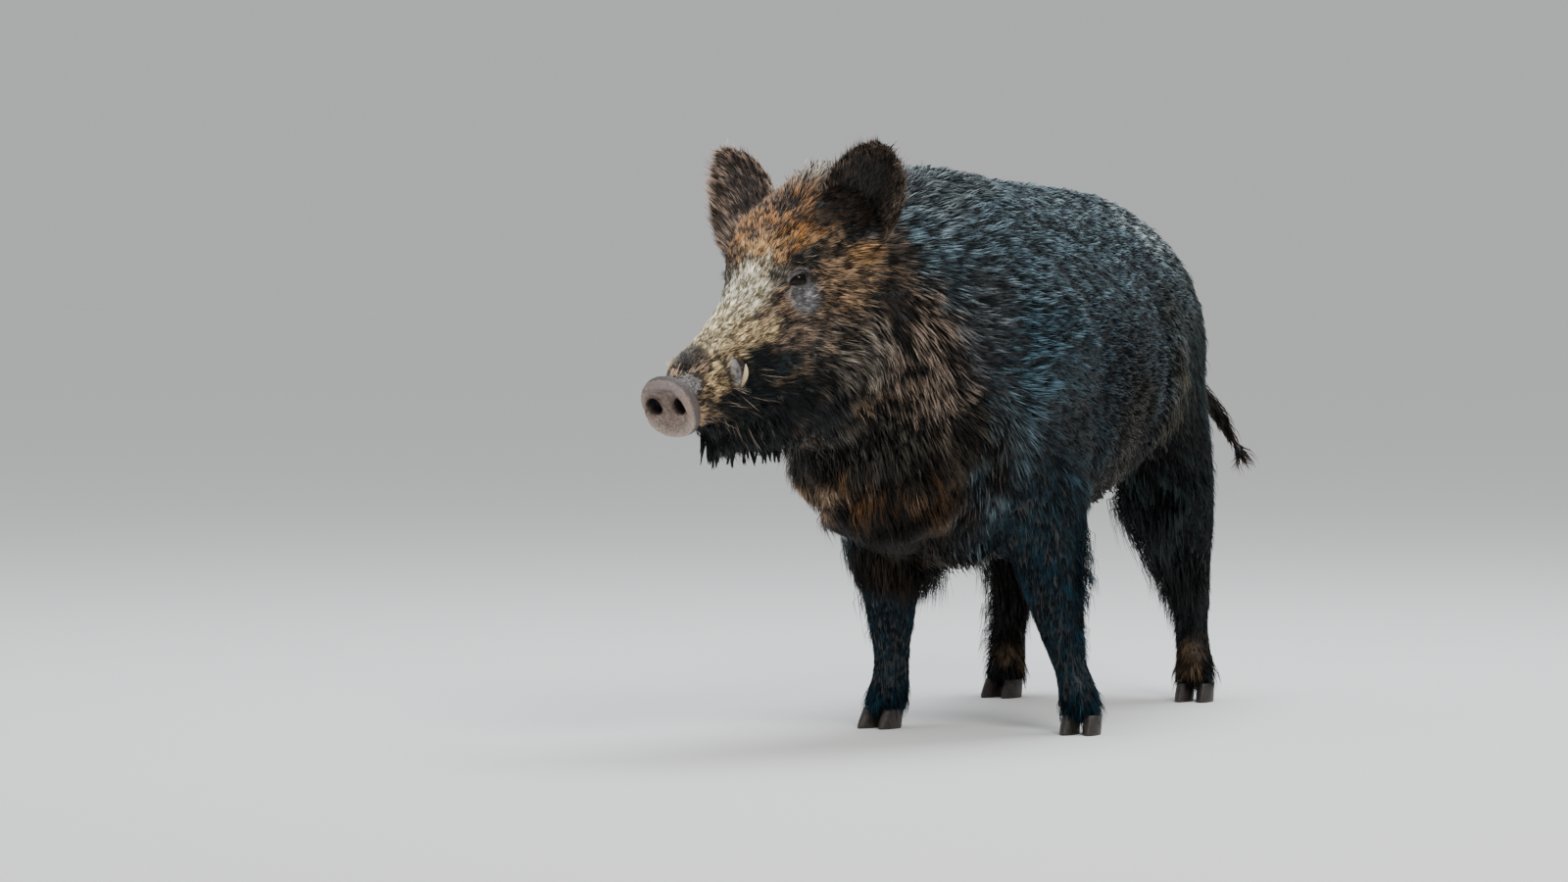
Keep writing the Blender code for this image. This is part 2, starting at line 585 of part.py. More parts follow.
# ---------------------------------------------------------------- the animal
def build():
    clear_scene()
    scene = bpy.context.scene.collection
    parts = bpy.data.collections.new("wild_boar")
    scratch = bpy.data.collections.new("cutters")
    scene.children.link(parts)
    scene.children.link(scratch)
    body = fused_body(scratch)
    made = {}

    def solid(name, builder, *values):
        made[name] = new_object(name, mesh_from(name, lambda bm: builder(bm, *values)), parts)
        return made[name]

    # the front of the muzzle and the foot of each leg end in flat faces
    front = box("snout_room", on_head(SNOUT_BACK + GAP, 0, 0) + HEAD_FORWARD * 0.10, (0.10, 0.14, 0.14),
                HEAD_FORWARD, HEAD_LEFT, scratch)
    boolean(body, front, "DIFFERENCE")
    ground = box("claw_room", Vector((0, -1.0, COLLAR_HEIGHT - 0.1)), (2.2, 1.0, 0.2),
                 Vector((0, -1, 0)), Vector((1, 0, 0)), scratch)
    boolean(body, ground, "DIFFERENCE")

    # claws stand under the feet, dewclaws are set into the back of them
    for foot in FEET:
        for word, way in (("outer", 1), ("inner", -1)):
            way = way if foot.endswith("left") else -way
            solid("claw_%s_%s" % (foot, word), add_loft, claw_rings(foot, way, CLAW, 0.0165, -3.0))
            dewclaw = solid("dewclaw_%s_%s" % (foot, word), add_loft, claw_rings(foot, way, DEWCLAW, 0.0200, -14.0))
            boolean(body, grown(dewclaw, dewclaw.name + "_room", GAP, scratch), "DIFFERENCE")

    # eyes and tusks are set into the head, ears stand on it
    surface = BVHTree.FromObject(body, bpy.context.evaluated_depsgraph_get())
    for word, side in (("left", 1), ("right", -1)):
        eye = solid("eye_" + word, lambda bm: bmesh.ops.create_uvsphere(
            bm, u_segments=16, v_segments=9, radius=EYE_RADIUS,
            matrix=Matrix.Translation(eye_centre(surface, side))))
        boolean(body, grown(eye, eye.name + "_room", GAP, scratch), "DIFFERENCE")
        tusk = solid("tusk_" + word, add_tusk, side)
        boolean(body, grown(tusk, tusk.name + "_room", GAP, scratch), "DIFFERENCE")
    skull = grown(body, "ear_seat", GAP, scratch)
    for word, side in (("left", 1), ("right", -1)):
        ear = solid("ear_" + word, add_ear, side)
        boolean(ear, skull, "DIFFERENCE")
        largest_shell(ear.data)

    # snout disc with its two nostrils
    snout = solid("snout", add_snout)
    for side in (1, -1):
        pit = new_object("nostril_room", mesh_from("nostril_room", lambda bm: add_oval(
            bm, on_head(-0.006, side * NOSTRIL[0], NOSTRIL[1]), (0.011, NOSTRIL[2], NOSTRIL[3]),
            HEAD_FORWARD, HEAD_LEFT, 7)), scratch)
        pit.hide_render = True
        pit.display_type = "WIRE"
        boolean(snout, pit, "DIFFERENCE")

    # the body is parted into the pieces a person would name
    for name, table, side in (("foreleg_left", FORELEG_REGION, 1), ("foreleg_right", FORELEG_REGION, -1),
                              ("hindleg_left", HINDLEG_REGION, 1), ("hindleg_right", HINDLEG_REGION, -1)):
        region = leg_region(name + "_region", table, side, scratch)
        made[name] = take(body, name, region, parts, scratch)
    region = box("tail_region", place(-0.860, 0.10, 0.50), (0.20, 0.30, 0.42), Vector((0, -1, 0)),
                 Vector((1, 0, 0)), scratch)
    made["tail"] = take(body, "tail", region, parts, scratch)
    forward, left, _ = heading(21.0, 20.0)
    region = box("head_region", on_head(-0.10, 0, 0), (0.510, 0.60, 0.90), HEAD_FORWARD, HEAD_LEFT, scratch)
    head = made["head"] = take(body, "head", region, parts, scratch)
    region = box("neck_region", place(0.140, -0.050, 0.60) + forward * 0.60, (0.60, 1.0, 1.2), *heading(12.0, 8.0)[:2],
                 scratch)
    made["neck"] = take(body, "neck", region, parts, scratch)
    made["trunk"] = new_object("trunk", body.data.copy(), parts)
    region = box("jaw_region", on_head(-0.02, 0, -0.140), (0.190, 0.20, 0.200), *heading(HEAD_TURN, HEAD_DROP - 6.0)[:2],
                 scratch)
    made["lower_jaw"] = take(head, "lower_jaw", region, parts, scratch)
    bpy.data.objects.remove(body)
    return made


def finish(made):
    """Centres the animal on the origin, colours the pieces and tidies their meshes."""
    corners = np.array([v.co for thing in made.values() for v in thing.data.vertices])
    low, high = corners.min(axis=0), corners.max(axis=0)
    shift = Vector((-(low[0] + high[0]) / 2, -(low[1] + high[1]) / 2, -low[2]))
    kinds = {"eye": "eye", "tusk": "tusk", "claw": "claw", "dewclaw": "claw", "snout": "snout_skin",
             "head": "coat_brown", "neck": "coat_brown", "lower_jaw": "coat_dark", "ear": "coat_brown"}
    for name, thing in made.items():
        print(name, largest_shell(thing.data), len(thing.data.polygons))
        kind = kinds.get(name, kinds.get(name.split("_")[0], "coat_dark"))
        bm = bmesh.new()
        bm.from_mesh(thing.data)
        bmesh.ops.translate(bm, verts=bm.verts, vec=shift)
        bmesh.ops.remove_doubles(bm, verts=bm.verts, dist=1e-5)
        bmesh.ops.dissolve_degenerate(bm, edges=bm.edges, dist=1e-6)
        bmesh.ops.triangulate(bm, faces=bm.faces)
        bmesh.ops.recalc_face_normals(bm, faces=bm.faces)
        bm.to_mesh(thing.data)
        bm.free()
        thing.data.name = name
        thing.data.materials.clear()
        thing.data.materials.append(material(kind))
        thing.data.shade_smooth()
    print("shift", shift, "low", low, "high", high)
    print("triangles", sum(len(t.data.polygons) for t in made.values()), "nodes", len(made))


finish(build())
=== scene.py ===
import math

import bmesh
import bpy
import numpy as np
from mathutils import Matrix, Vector, kdtree
from mathutils.bvhtree import BVHTree


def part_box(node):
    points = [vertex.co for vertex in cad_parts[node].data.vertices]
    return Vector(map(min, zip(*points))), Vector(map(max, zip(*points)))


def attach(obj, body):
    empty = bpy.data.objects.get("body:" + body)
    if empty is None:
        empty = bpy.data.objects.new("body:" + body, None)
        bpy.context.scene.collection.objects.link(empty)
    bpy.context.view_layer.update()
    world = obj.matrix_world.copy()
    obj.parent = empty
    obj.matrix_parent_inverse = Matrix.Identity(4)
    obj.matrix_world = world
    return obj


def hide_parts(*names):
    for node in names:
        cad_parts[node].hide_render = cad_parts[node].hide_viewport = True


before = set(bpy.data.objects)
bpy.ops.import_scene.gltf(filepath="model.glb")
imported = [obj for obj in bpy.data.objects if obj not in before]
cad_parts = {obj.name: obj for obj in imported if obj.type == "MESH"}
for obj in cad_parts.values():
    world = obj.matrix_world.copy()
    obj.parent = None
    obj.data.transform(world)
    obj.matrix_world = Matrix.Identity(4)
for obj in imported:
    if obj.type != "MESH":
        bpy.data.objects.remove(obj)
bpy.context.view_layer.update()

print("frame loaded")

# where the animal stands and how the head is held, in metres and degrees
stance = {
    "shift": (0.0876, -0.1225),         # from between the front feet to the middle of the whole animal
    "headTurn": 20.0,
    "headDrop": 25.0,
    "snoutAt": (0.640, -0.271, 0.504),  # forward, left, up
    "midline": -0.034,                  # how far left the backbone runs
}


def smoothStep(start, end, value):
    t = np.clip((value - start) / (end - start), 0.0, 1.0)
    return t * t * (3.0 - 2.0 * t)


def bell(off, width):
    return np.exp(-(off / width) ** 2)


def oval(off, width, otherOff, otherWidth):
    return np.exp(-((off / width) ** 2 + (otherOff / otherWidth) ** 2))


def unit(vectors):
    return vectors / np.maximum(np.linalg.norm(vectors, axis=-1, keepdims=True), 1e-9)


def dot(a, b):
    return (a * b).sum(-1, keepdims=True)


def place(forward, left, up):
    return np.array([left + stance["shift"][0], stance["shift"][1] - forward, up])


def heading(turn, drop):
    t, d = math.radians(turn), math.radians(drop)
    ahead = np.array([-math.sin(t) * math.cos(d), -math.cos(t) * math.cos(d), -math.sin(d)])
    left = np.array([math.cos(t), -math.sin(t), 0.0])
    return ahead, left, np.cross(ahead, left)


headAhead, headLeft, headUp = heading(stance["headTurn"], stance["headDrop"])
snoutCentre = place(*stance["snoutAt"])
back, down = np.array([0.0, 1.0, 0.0]), np.array([0.0, 0.0, -1.0])


def onHead(behind, side, above):
    return snoutCentre - headAhead * behind + headLeft * side + headUp * above


def headCoords(points):
    d = points - snoutCentre
    return np.stack([-(d @ headAhead), d @ headLeft, d @ headUp], -1)


def bodyCoords(points):
    return np.stack([stance["shift"][1] - points[:, 1],
                     points[:, 0] - stance["shift"][0] - stance["midline"], points[:, 2]], -1)


def ripple(points, size, seed, waves=7):
    # a smooth uneven field, about -1 to 1, with bumps of the given size
    draw = np.random.default_rng(seed)
    total = np.zeros(len(points))
    for _ in range(waves):
        way = unit(draw.normal(size=3))
        pace = 2 * math.pi / (size * draw.uniform(0.7, 1.5))
        total += np.sin(points @ way * pace + draw.uniform(0, 6.28))
    return total / math.sqrt(waves)


def triangleMesh(name, points, triangles):
    mesh = bpy.data.meshes.new(name)
    mesh.vertices.add(len(points))
    mesh.vertices.foreach_set("co", np.ascontiguousarray(points, np.float32).ravel())
    mesh.loops.add(triangles.size)
    mesh.loops.foreach_set("vertex_index", np.ascontiguousarray(triangles, np.int32).ravel())
    mesh.polygons.add(len(triangles))
    mesh.polygons.foreach_set("loop_start", np.arange(0, triangles.size, 3, dtype=np.int32))
    mesh.polygons.foreach_set("use_smooth", np.ones(len(triangles), bool))
    mesh.update()
    return mesh


def newObject(name, data):
    thing = bpy.data.objects.new(name, data)
    bpy.context.scene.collection.objects.link(thing)
    return thing


def addPiece(name, mesh, slotName, *nodes):
    piece = newObject(name, mesh)
    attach(piece, "root")
    if nodes:
        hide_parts(*nodes)
    return piece


def setField(mesh, name, values):
    if values.ndim == 1:
        field = mesh.attributes.new(name, "FLOAT", "POINT")
        field.data.foreach_set("value", values.astype(np.float32))
        return
    field = mesh.attributes.new(name, "FLOAT_COLOR", "POINT")
    colours = np.hstack([values, np.ones((len(values), 1))]).astype(np.float32)
    field.data.foreach_set("color", colours.ravel())


def meshArrays(mesh):
    points = np.empty(len(mesh.vertices) * 3, np.float32)
    mesh.vertices.foreach_get("co", points)
    mesh.calc_loop_triangles()
    triangles = np.empty(len(mesh.loop_triangles) * 3, np.int32)
    mesh.loop_triangles.foreach_get("vertices", triangles)
    return points.reshape(-1, 3).astype(float), triangles.reshape(-1, 3)


def pointNormals(points, triangles):
    a, b, c = (points[triangles[:, i]] for i in range(3))
    flat = np.cross(b - a, c - a)
    total = np.stack([sum(np.bincount(triangles[:, i], flat[:, k], len(points)) for i in range(3))
                      for k in range(3)], -1)
    return unit(total)


def ringsToMesh(rings, closeStart=True, closeEnd=True):
    # closed rings of equal count joined to a tube, each end closed by a fan
    rows, count = rings.shape[:2]
    i = np.arange(rows - 1)[:, None] * count
    j = np.arange(count)[None, :]
    k = (j + 1) % count
    quads = np.stack([i + j, i + k, i + count + k, i + count + j], -1).reshape(-1, 4)
    points = [rings.reshape(-1, 3)]
    triangles = [quads[:, [0, 1, 2]], quads[:, [0, 2, 3]]]
    for close, row, way in ((closeStart, 0, 1), (closeEnd, rows - 1, -1)):
        if close:
            middle = sum(len(p) for p in points)
            points.append(rings[row].mean(0)[None])
            rim = row * count + np.arange(count)
            triangles.append(np.stack([np.roll(rim, -1), rim, np.full(count, middle)], -1)[:, ::way])
    points, triangles = np.vstack(points), np.vstack(triangles)
    corners = points[triangles]
    volume = (np.cross(corners[:, 0], corners[:, 1]) * corners[:, 2]).sum()
    return points, triangles if volume > 0 else triangles[:, ::-1]


def joined(shells):
    start = np.cumsum([0] + [len(p) for p, _ in shells])
    return np.vstack([p for p, _ in shells]), np.vstack([t + s for (_, t), s in zip(shells, start)])


def evaluatedMesh(thing):
    bpy.context.view_layer.update()
    return bpy.data.meshes.new_from_object(thing.evaluated_get(bpy.context.evaluated_depsgraph_get()))


def mergedNode(name, push=0.0):
    bm = bmesh.new()
    bm.from_mesh(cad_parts[name].data)
    bmesh.ops.remove_doubles(bm, verts=bm.verts, dist=1e-5)
    bm.normal_update()
    for v, way in [(v, v.normal.copy()) for v in bm.verts]:
        v.co += way * push
    return bm


hide = {
    "grain": 0.0071,        # size of the faces of the hide
    "closeGap": 0.0006,     # how far the pieces are pushed out to meet
    "softening": 12,
    "fineHead": 0.315, "fineAbove": -0.13,  # the faces are finer up to this far behind and below the disc
    "lip": ((0.098, 0.038, 0.000), (0.024, 0.0190, 0.032)),     # swelling that holds a tusk: place, radii
    "soleHeight": 0.055,    # below this the feet are only drawn in sideways
}
fleshNodes = ["head", "lower_jaw", "neck", "trunk", "tail",
              "foreleg_left", "foreleg_right", "hindleg_left", "hindleg_right"]


def addOval(bm, centre, radii):
    turn = np.stack([headLeft, headAhead, headUp], -1)
    made = bmesh.ops.create_icosphere(bm, subdivisions=3, radius=1.0)["verts"]
    for v in made:
        v.co = Vector(centre + turn @ (np.array(v.co) * np.array([radii[1], radii[0], radii[2]])))


def fusedFlesh():
    whole = bmesh.new()
    for name in fleshNodes + ["eye_left", "eye_right"]:
        part = mergedNode(name, hide["closeGap"])
        step = bpy.data.meshes.new("step")
        part.to_mesh(step)
        whole.from_mesh(step)
        part.free()
    (behind, aside, above), radii = hide["lip"]
    for side in (1, -1):
        addOval(whole, onHead(behind, side * aside, above), radii)
    mesh = bpy.data.meshes.new("flesh")
    whole.to_mesh(mesh)
    whole.free()
    flesh = newObject("flesh", mesh)
    fuse = flesh.modifiers.new("fuse", "REMESH")
    fuse.mode = "VOXEL"
    fuse.voxel_size = hide["grain"]
    soften = flesh.modifiers.new("soften", "SMOOTH")
    soften.factor = 0.5
    soften.iterations = hide["softening"]
    result = evaluatedMesh(flesh)
    bpy.data.objects.remove(flesh)
    bm = bmesh.new()
    bm.from_mesh(result)
    fine = []
    for f in bm.faces:
        behind, _, above = headCoords(np.array(f.calc_center_median())[None])[0]
        if behind < hide["fineHead"] and above > hide["fineAbove"]:
            fine.append(f)
    edges = list({e for f in fine for e in f.edges})
    bmesh.ops.subdivide_edges(bm, edges=edges, cuts=1, use_grid_fill=True, smooth=0.0)
    bmesh.ops.triangulate(bm, faces=bm.faces)
    bm.to_mesh(result)
    bm.free()
    return meshArrays(result)


def edgePairs(triangles):
    pairs = np.sort(np.vstack([triangles[:, [0, 1]], triangles[:, [1, 2]], triangles[:, [2, 0]]]), axis=1)
    return np.unique(pairs, axis=0)


def evened(values, pairs, rounds):
    # a field spread over the surface by averaging each point with its neighbours
    values = values.astype(float)
    flat = values.reshape(len(values), -1)
    count = np.bincount(pairs.ravel(), minlength=len(flat)).astype(float)[:, None]
    for _ in range(rounds):
        near = np.stack([np.bincount(pairs[:, 0], flat[pairs[:, 1], k], len(flat))
                         + np.bincount(pairs[:, 1], flat[pairs[:, 0], k], len(flat))
                         for k in range(flat.shape[1])], -1) / np.maximum(count, 1)
        flat = 0.5 * flat + 0.5 * near
    return flat.reshape(values.shape)


def nodeLabels(points):
    # the nearest flesh node of each point
    corners, faces, owner = [], [], []
    for index, name in enumerate(fleshNodes):
        bm = mergedNode(name)
        start = len(corners)
        corners += [v.co.copy() for v in bm.verts]
        for f in bm.faces:
            faces.append([start + v.index for v in f.verts])
            owner.append(index)
        bm.free()
    tree = BVHTree.FromPolygons(corners, faces)
    return np.array([owner[tree.find_nearest(Vector(p))[2]] for p in points])


# base coat of each node: depth, length, width, lift in degrees, spacing, clumping, root and tip colour
# slate tints: dark grey hair whose blue is painted reflection of the sky; the forelegs' blue tips are
# painted sky reflection too
slateRootWithSkySheen, slateTipWithSkySheen = (7, 15, 20), (100, 121, 130)
baseCoat = {
    "head":      (0.0062, 0.0135, 0.0014, 15.0, 0.0019, 0.30, (32, 24, 18), (188, 157, 126)),
    "lower_jaw": (0.0100, 0.0260, 0.0016, 26.0, 0.0026, 0.85, (1, 2, 2), (20, 22, 23)),
    "neck":      (0.0115, 0.0265, 0.0021, 11.0, 0.0030, 0.60, slateRootWithSkySheen, slateTipWithSkySheen),
    "trunk":     (0.0090, 0.0265, 0.0022, 9.8, 0.0030, 0.62, slateRootWithSkySheen, slateTipWithSkySheen),
    "tail":      (0.0110, 0.0300, 0.0022, 11.0, 0.0036, 0.90, (10, 7, 6), (70, 50, 40)),
    "foreleg":   (0.0080, 0.0225, 0.0017, 12.5, 0.0032, 0.55, (2, 9, 13), (20, 53, 68)),
    "hindleg":   (0.0085, 0.0230, 0.0018, 12.5, 0.0033, 0.55, (2, 3, 3), (28, 36, 37)),
}
coatFields = ("depth", "length", "width", "lift", "spacing", "clump", "root", "tip")

# soft patches laid over the base coat, the first ones lowest: middle, size, root and tip colour, and what
# else they change. On the body a middle is forward of the front feet, left of the backbone and up; on the
# head it is behind, left of and above the snout disc. One that isn't on the right is laid on both sides
patches = {
    "body": [     # trunk, neck and legs
        # top of the back and the rump: paler blue-white tips, partly grizzle and partly painted sky
        # highlight on the top
        ((-0.3, 0.0, 0.86), (0.75, 0.15, 0.13), (8, 18, 23), (120, 138, 145), {}),
        ((-0.72, 0.05, 0.76), (0.22, 0.15, 0.13), (16, 24, 26), (176, 190, 194), {}),
        ((-0.74, 0.1, 0.58), (0.16, 0.2, 0.14), (4, 7, 8), (54, 65, 65), {}),
        ((-0.16, 0.2, 0.54), (0.34, 0.12, 0.13), (4, 8, 10), (64, 84, 94), {}),
        ((-0.1, 0.14, 0.42), (0.3, 0.2, 0.09), (3, 5, 6), (42, 50, 53),
         dict(length=0.026, lift=15.0, depth=0.012)),
        ((-0.4, 0.12, 0.36), (0.22, 0.2, 0.1), (4, 5, 4), (48, 47, 43),
         dict(length=0.04, lift=24.0, depth=0.017, spacing=0.0044)),
        ((0.225, 0.1, 0.6), (0.055, 0.09, 0.12), (10, 13, 15), (92, 98, 102), dict(length=0.026)),
        ((0.25, 0.05, 0.445), (0.08, 0.18, 0.07), (5, 4, 2), (60, 53, 44),
         dict(length=0.04, lift=23.0, depth=0.022, spacing=0.0042)),
        ((0.225, -0.02, 0.36), (0.11, 0.16, 0.07), (6, 3, 1), (60, 38, 16),
         dict(length=0.044, lift=24.0, depth=0.03, spacing=0.0044, ragged=0.4)),
        ((0.245, -0.085, 0.4), (0.055, 0.055, 0.042), (10, 6, 3), (114, 77, 40),
         dict(length=0.044, ragged=0.55)),
        ((0.2, -0.06, 0.305), (0.16, 0.15, 0.045), (3, 3, 2), (32, 27, 22), {}),
        ((-0.66, 0.15, 0.085), (0.035, 0.05, 0.028), (34, 25, 17), (112, 90, 66), dict(ragged=0.4)),
        ((0.06, -0.07, 0.27), (0.1, 0.13, 0.05), (6, 4, 3), (48, 40, 32), dict(length=0.046, lift=26.0)),
        ((0.24, 0.0, 0.85), (0.24, 0.13, 0.08), (13, 19, 22), (112, 124, 127),
         dict(length=0.032, lift=15.0)),
        ((-0.1, 0.18, 0.5), (0.09, 0.06, 0.1), (2, 5, 7), (44, 62, 72), {}),
        ((0.055, 0.15, 0.375), (0.07, 0.08, 0.075), (5, 10, 13), (44, 68, 78), dict(fade=(1.5, 0.4))),
        ((0.1, 0.13, 0.57), (0.12, 0.08, 0.08), (4, 12, 17), (72, 98, 110), {}),
        # darker in the fold in front of the thigh: painted shade, with longer hair
        ((-0.27, 0.18, 0.49), (0.17, 0.08, 0.12), (2, 3, 3), (28, 28, 25),
         dict(length=0.034, lift=17.0, fade=(1.5, 0.3))),
        ((-0.51, 0.16, 0.63), (0.11, 0.1, 0.075), (4, 8, 10), (64, 76, 79), dict(fade=(1.6, 0.3))),
        ((-0.72, 0.0, 0.43), (0.14, 0.085, 0.12), (3, 3, 3), (34, 35, 34), dict(length=0.038, lift=18.0)),
        ((-0.25, 0.17, 0.43), (0.05, 0.06, 0.07), (5, 5, 4), (66, 60, 51),
         dict(length=0.042, lift=22.0, fade=(1.7, 0.2))),
        ((-0.5, 0.16, 0.5), (0.05, 0.06, 0.13), (5, 5, 4), (76, 71, 60),
         dict(length=0.038, lift=20.0, fade=(1.7, 0.2))),
        ((-0.58, 0.16, 0.52), (0.05, 0.06, 0.1), (4, 5, 4), (52, 54, 49), dict(fade=(1.7, 0.2))),
        ((-0.6, 0.14, 0.34), (0.1, 0.12, 0.09), (3, 4, 4), (36, 46, 48), {}),
        ((-0.7, -0.12, 0.33), (0.2, 0.07, 0.22), (12, 8, 6), (58, 46, 38), {}),
        ((-0.625, 0.09, 0.3), (0.055, 0.06, 0.09), (3, 4, 4), (38, 44, 46),
         dict(length=0.056, lift=46.0, clump=0.85)),
        ((-0.685, 0.115, 0.2), (0.045, 0.05, 0.09), (3, 4, 4), (32, 36, 36),
         dict(length=0.054, lift=46.0, clump=0.85)),
        ((-0.68, -0.17, 0.18), (0.06, 0.04, 0.12), (4, 4, 4), (38, 36, 34),
         dict(length=0.044, lift=44.0, clump=0.85)),
        ((-0.01, -0.09, 0.285), (0.05, 0.06, 0.055), (3, 4, 4), (30, 32, 32),
         dict(length=0.064, lift=46.0, clump=0.9)),
        ((-0.01, 0.18, 0.21), (0.035, 0.045, 0.11), (3, 8, 11), (26, 47, 57),
         dict(length=0.034, lift=28.0, clump=0.85)),
    ],
    "head": [     # from the nape to the disc
        ((0.41, 0.0, 0.17), (0.11, 0.14, 0.06), (34, 30, 25), (178, 170, 156),
         dict(length=0.026, lift=32.0, depth=0.01, width=0.0018, spacing=0.0028)),
        ((0.345, 0.0, 0.15), (0.05, 0.105, 0.06), (26, 16, 9), (158, 116, 78),
         dict(length=0.0165, lift=20.0)),
        ((0.372, 0.07, 0.14), (0.034, 0.028, 0.036), (18, 12, 8), (104, 82, 60),
         dict(length=0.012, lift=16.0)),
        ((0.295, 0.0, 0.13), (0.048, 0.08, 0.05), (42, 25, 9), (178, 124, 66),
         dict(length=0.013, lift=16.0)),
        ((0.3, 0.13, 0.03), (0.095, 0.055, 0.085), (34, 25, 18), (190, 156, 120),
         dict(length=0.0175, depth=0.009, lift=17.0, width=0.0015, spacing=0.0023)),
        ((0.215, 0.085, -0.005), (0.075, 0.045, 0.05), (32, 25, 21), (168, 144, 124), dict(length=0.014)),
        ((0.32, 0.12, -0.066), (0.14, 0.08, 0.07), (16, 14, 12), (142, 131, 118),
         dict(length=0.028, depth=0.014, lift=22.0, clump=0.7, width=0.0018, spacing=0.0028)),
        ((0.264, 0.0, 0.11), (0.034, 0.046, 0.034), (62, 42, 22), (206, 162, 108),
         dict(length=0.0122, spacing=0.0018, ragged=0.3)),
        ((0.191, 0.0, 0.078), (0.072, 0.055, 0.05), (122, 107, 74), (255, 249, 226),
         dict(length=0.0115, spacing=0.0016, width=0.0015, ragged=0.26)),
        ((0.125, 0.0, 0.06), (0.058, 0.044, 0.04), (110, 93, 58), (255, 240, 198),
         dict(length=0.01, spacing=0.00175, width=0.0015, ragged=0.26)),
        ((0.08, 0.046, 0.012), (0.046, 0.03, 0.038), (58, 44, 27), (226, 198, 150),
         dict(length=0.0098, spacing=0.0015, width=0.0014)),
        ((0.154, 0.042, 0.037), (0.05, 0.021, 0.026), (92, 73, 46), (255, 228, 178),
         dict(length=0.0105, spacing=0.0016, ragged=0.3)),
        ((0.064, 0.006, 0.048), (0.022, 0.022, 0.022), (22, 17, 14), (92, 80, 70),
         dict(length=0.009, lift=24.0, spacing=0.0016)),
        ((0.056, -0.032, 0.034), (0.034, 0.02, 0.03), (108, 92, 66), (232, 214, 178),
         dict(length=0.0165, spacing=0.0016, lift=34.0)),
        ((0.029, 0.026, 0.024), (0.018, 0.02, 0.016), (70, 70, 67), (178, 180, 174),
         dict(length=0.0055, lift=18.0, width=0.0009, spacing=0.0019)),
        ((0.165, 0.062, -0.018), (0.055, 0.035, 0.022), (4, 6, 7), (48, 58, 60), dict(length=0.017)),
        ((0.146, 0.056, 0.002), (0.03, 0.03, 0.026), (2, 3, 4), (18, 26, 30), dict(length=0.018)),
        ((0.104, 0.045, -0.04), (0.056, 0.036, 0.031), (2, 4, 5), (24, 30, 32),
         dict(length=0.0135, ragged=0.35)),
        ((0.24, 0.05, -0.12), (0.09, 0.07, 0.05), (3, 4, 4), (40, 42, 42), dict(length=0.028)),
        ((0.13, 0.045, -0.078), (0.14, 0.075, 0.045), (3, 4, 4), (26, 30, 31),
         dict(length=0.025, lift=22.0, clump=0.8)),
        ((0.33, 0.05, -0.2), (0.13, 0.1, 0.07), (6, 6, 5), (62, 57, 51),
         dict(length=0.036, lift=26.0, depth=0.02, clump=0.75, width=0.0021, spacing=0.0035)),
        ((0.41, 0.135, -0.105), (0.058, 0.065, 0.115), (15, 12, 9), (126, 109, 96),
         dict(length=0.034, lift=20.0, depth=0.016, width=0.0021, spacing=0.0033, ragged=0.22)),
        ((0.38, 0.128, 0.0), (0.02, 0.03, 0.05), (5, 4, 4), (60, 50, 45), dict(length=0.02)),
        ((0.29, 0.076, 0.1), (0.032, 0.026, 0.014), (6, 6, 5), (48, 45, 39), dict(length=0.0105)),
        ((0.246, 0.048, 0.09), (0.018, 0.018, 0.018), (52, 48, 42), (150, 140, 124), dict(length=0.0095)),
        ((0.261, 0.078, 0.05), (0.027, 0.03, 0.019), (88, 86, 87), (200, 199, 199),
         dict(length=0.0068, spacing=0.0015, lift=14.0, width=0.0009)),
        ((0.372, 0.098, 0.106), (0.022, 0.028, 0.018), (5, 4, 4), (48, 40, 33), dict(length=0.011)),
        ((0.366, 0.106, 0.072), (0.024, 0.03, 0.018), (52, 35, 19), (186, 146, 102),
         dict(length=0.022, lift=26.0)),
        ((0.415, 0.125, 0.06), (0.026, 0.04, 0.05), (14, 11, 9), (98, 84, 72),
         dict(length=0.024, lift=22.0)),
    ],
}

# lines where the coat parts, on the left flank alone or on both: forward and up of each bend, half width,
# depth of the groove, share of the colour kept (the rest is taken off as painted shade in the groove)
partings = [
    {"line": [(-0.43, 0.70), (-0.43, 0.62), (-0.37, 0.54), (-0.312, 0.474), (-0.25, 0.42)], "wide": 0.013,
     "deep": 0.0018, "keep": 0.90, "both": True},
    {"line": [(0.240, 0.712), (0.197, 0.663)], "wide": 0.007, "deep": 0.0025, "keep": 0.75},
    {"line": [(0.083, 0.735), (0.010, 0.702), (-0.057, 0.655)], "wide": 0.006, "deep": 0.0028, "keep": 0.55},
    {"line": [(-0.020, 0.715), (-0.110, 0.668)], "wide": 0.005, "deep": 0.0022, "keep": 0.60},
    {"line": [(-0.175, 0.680), (-0.300, 0.640)], "wide": 0.006, "deep": 0.0025, "keep": 0.60},
]


def partingShare(points, parting):
    f, s, z = bodyCoords(points).T
    spot, gap = np.stack([f, z], -1), np.full(len(points), 9.0)
    for start, end in zip(parting["line"], parting["line"][1:]):
        run = np.array(end) - start
        part = np.clip((spot - start) @ run / (run @ run), 0.0, 1.0)
        gap = np.minimum(gap, np.linalg.norm(spot - start - part[:, None] * run, axis=1))
    aside = np.abs(s) if parting.get("both") else s
    ends = smoothStep(0.74, 0.64, z - 0.10 * (f > -0.4))
    return bell(gap, parting["wide"]) * smoothStep(0.05, 0.10, aside) * ends


def srgb(colour):
    c = np.asarray(colour, float) / 255.0
    return np.where(c <= 0.04045, c / 12.92, ((c + 0.055) / 1.055) ** 2.4)


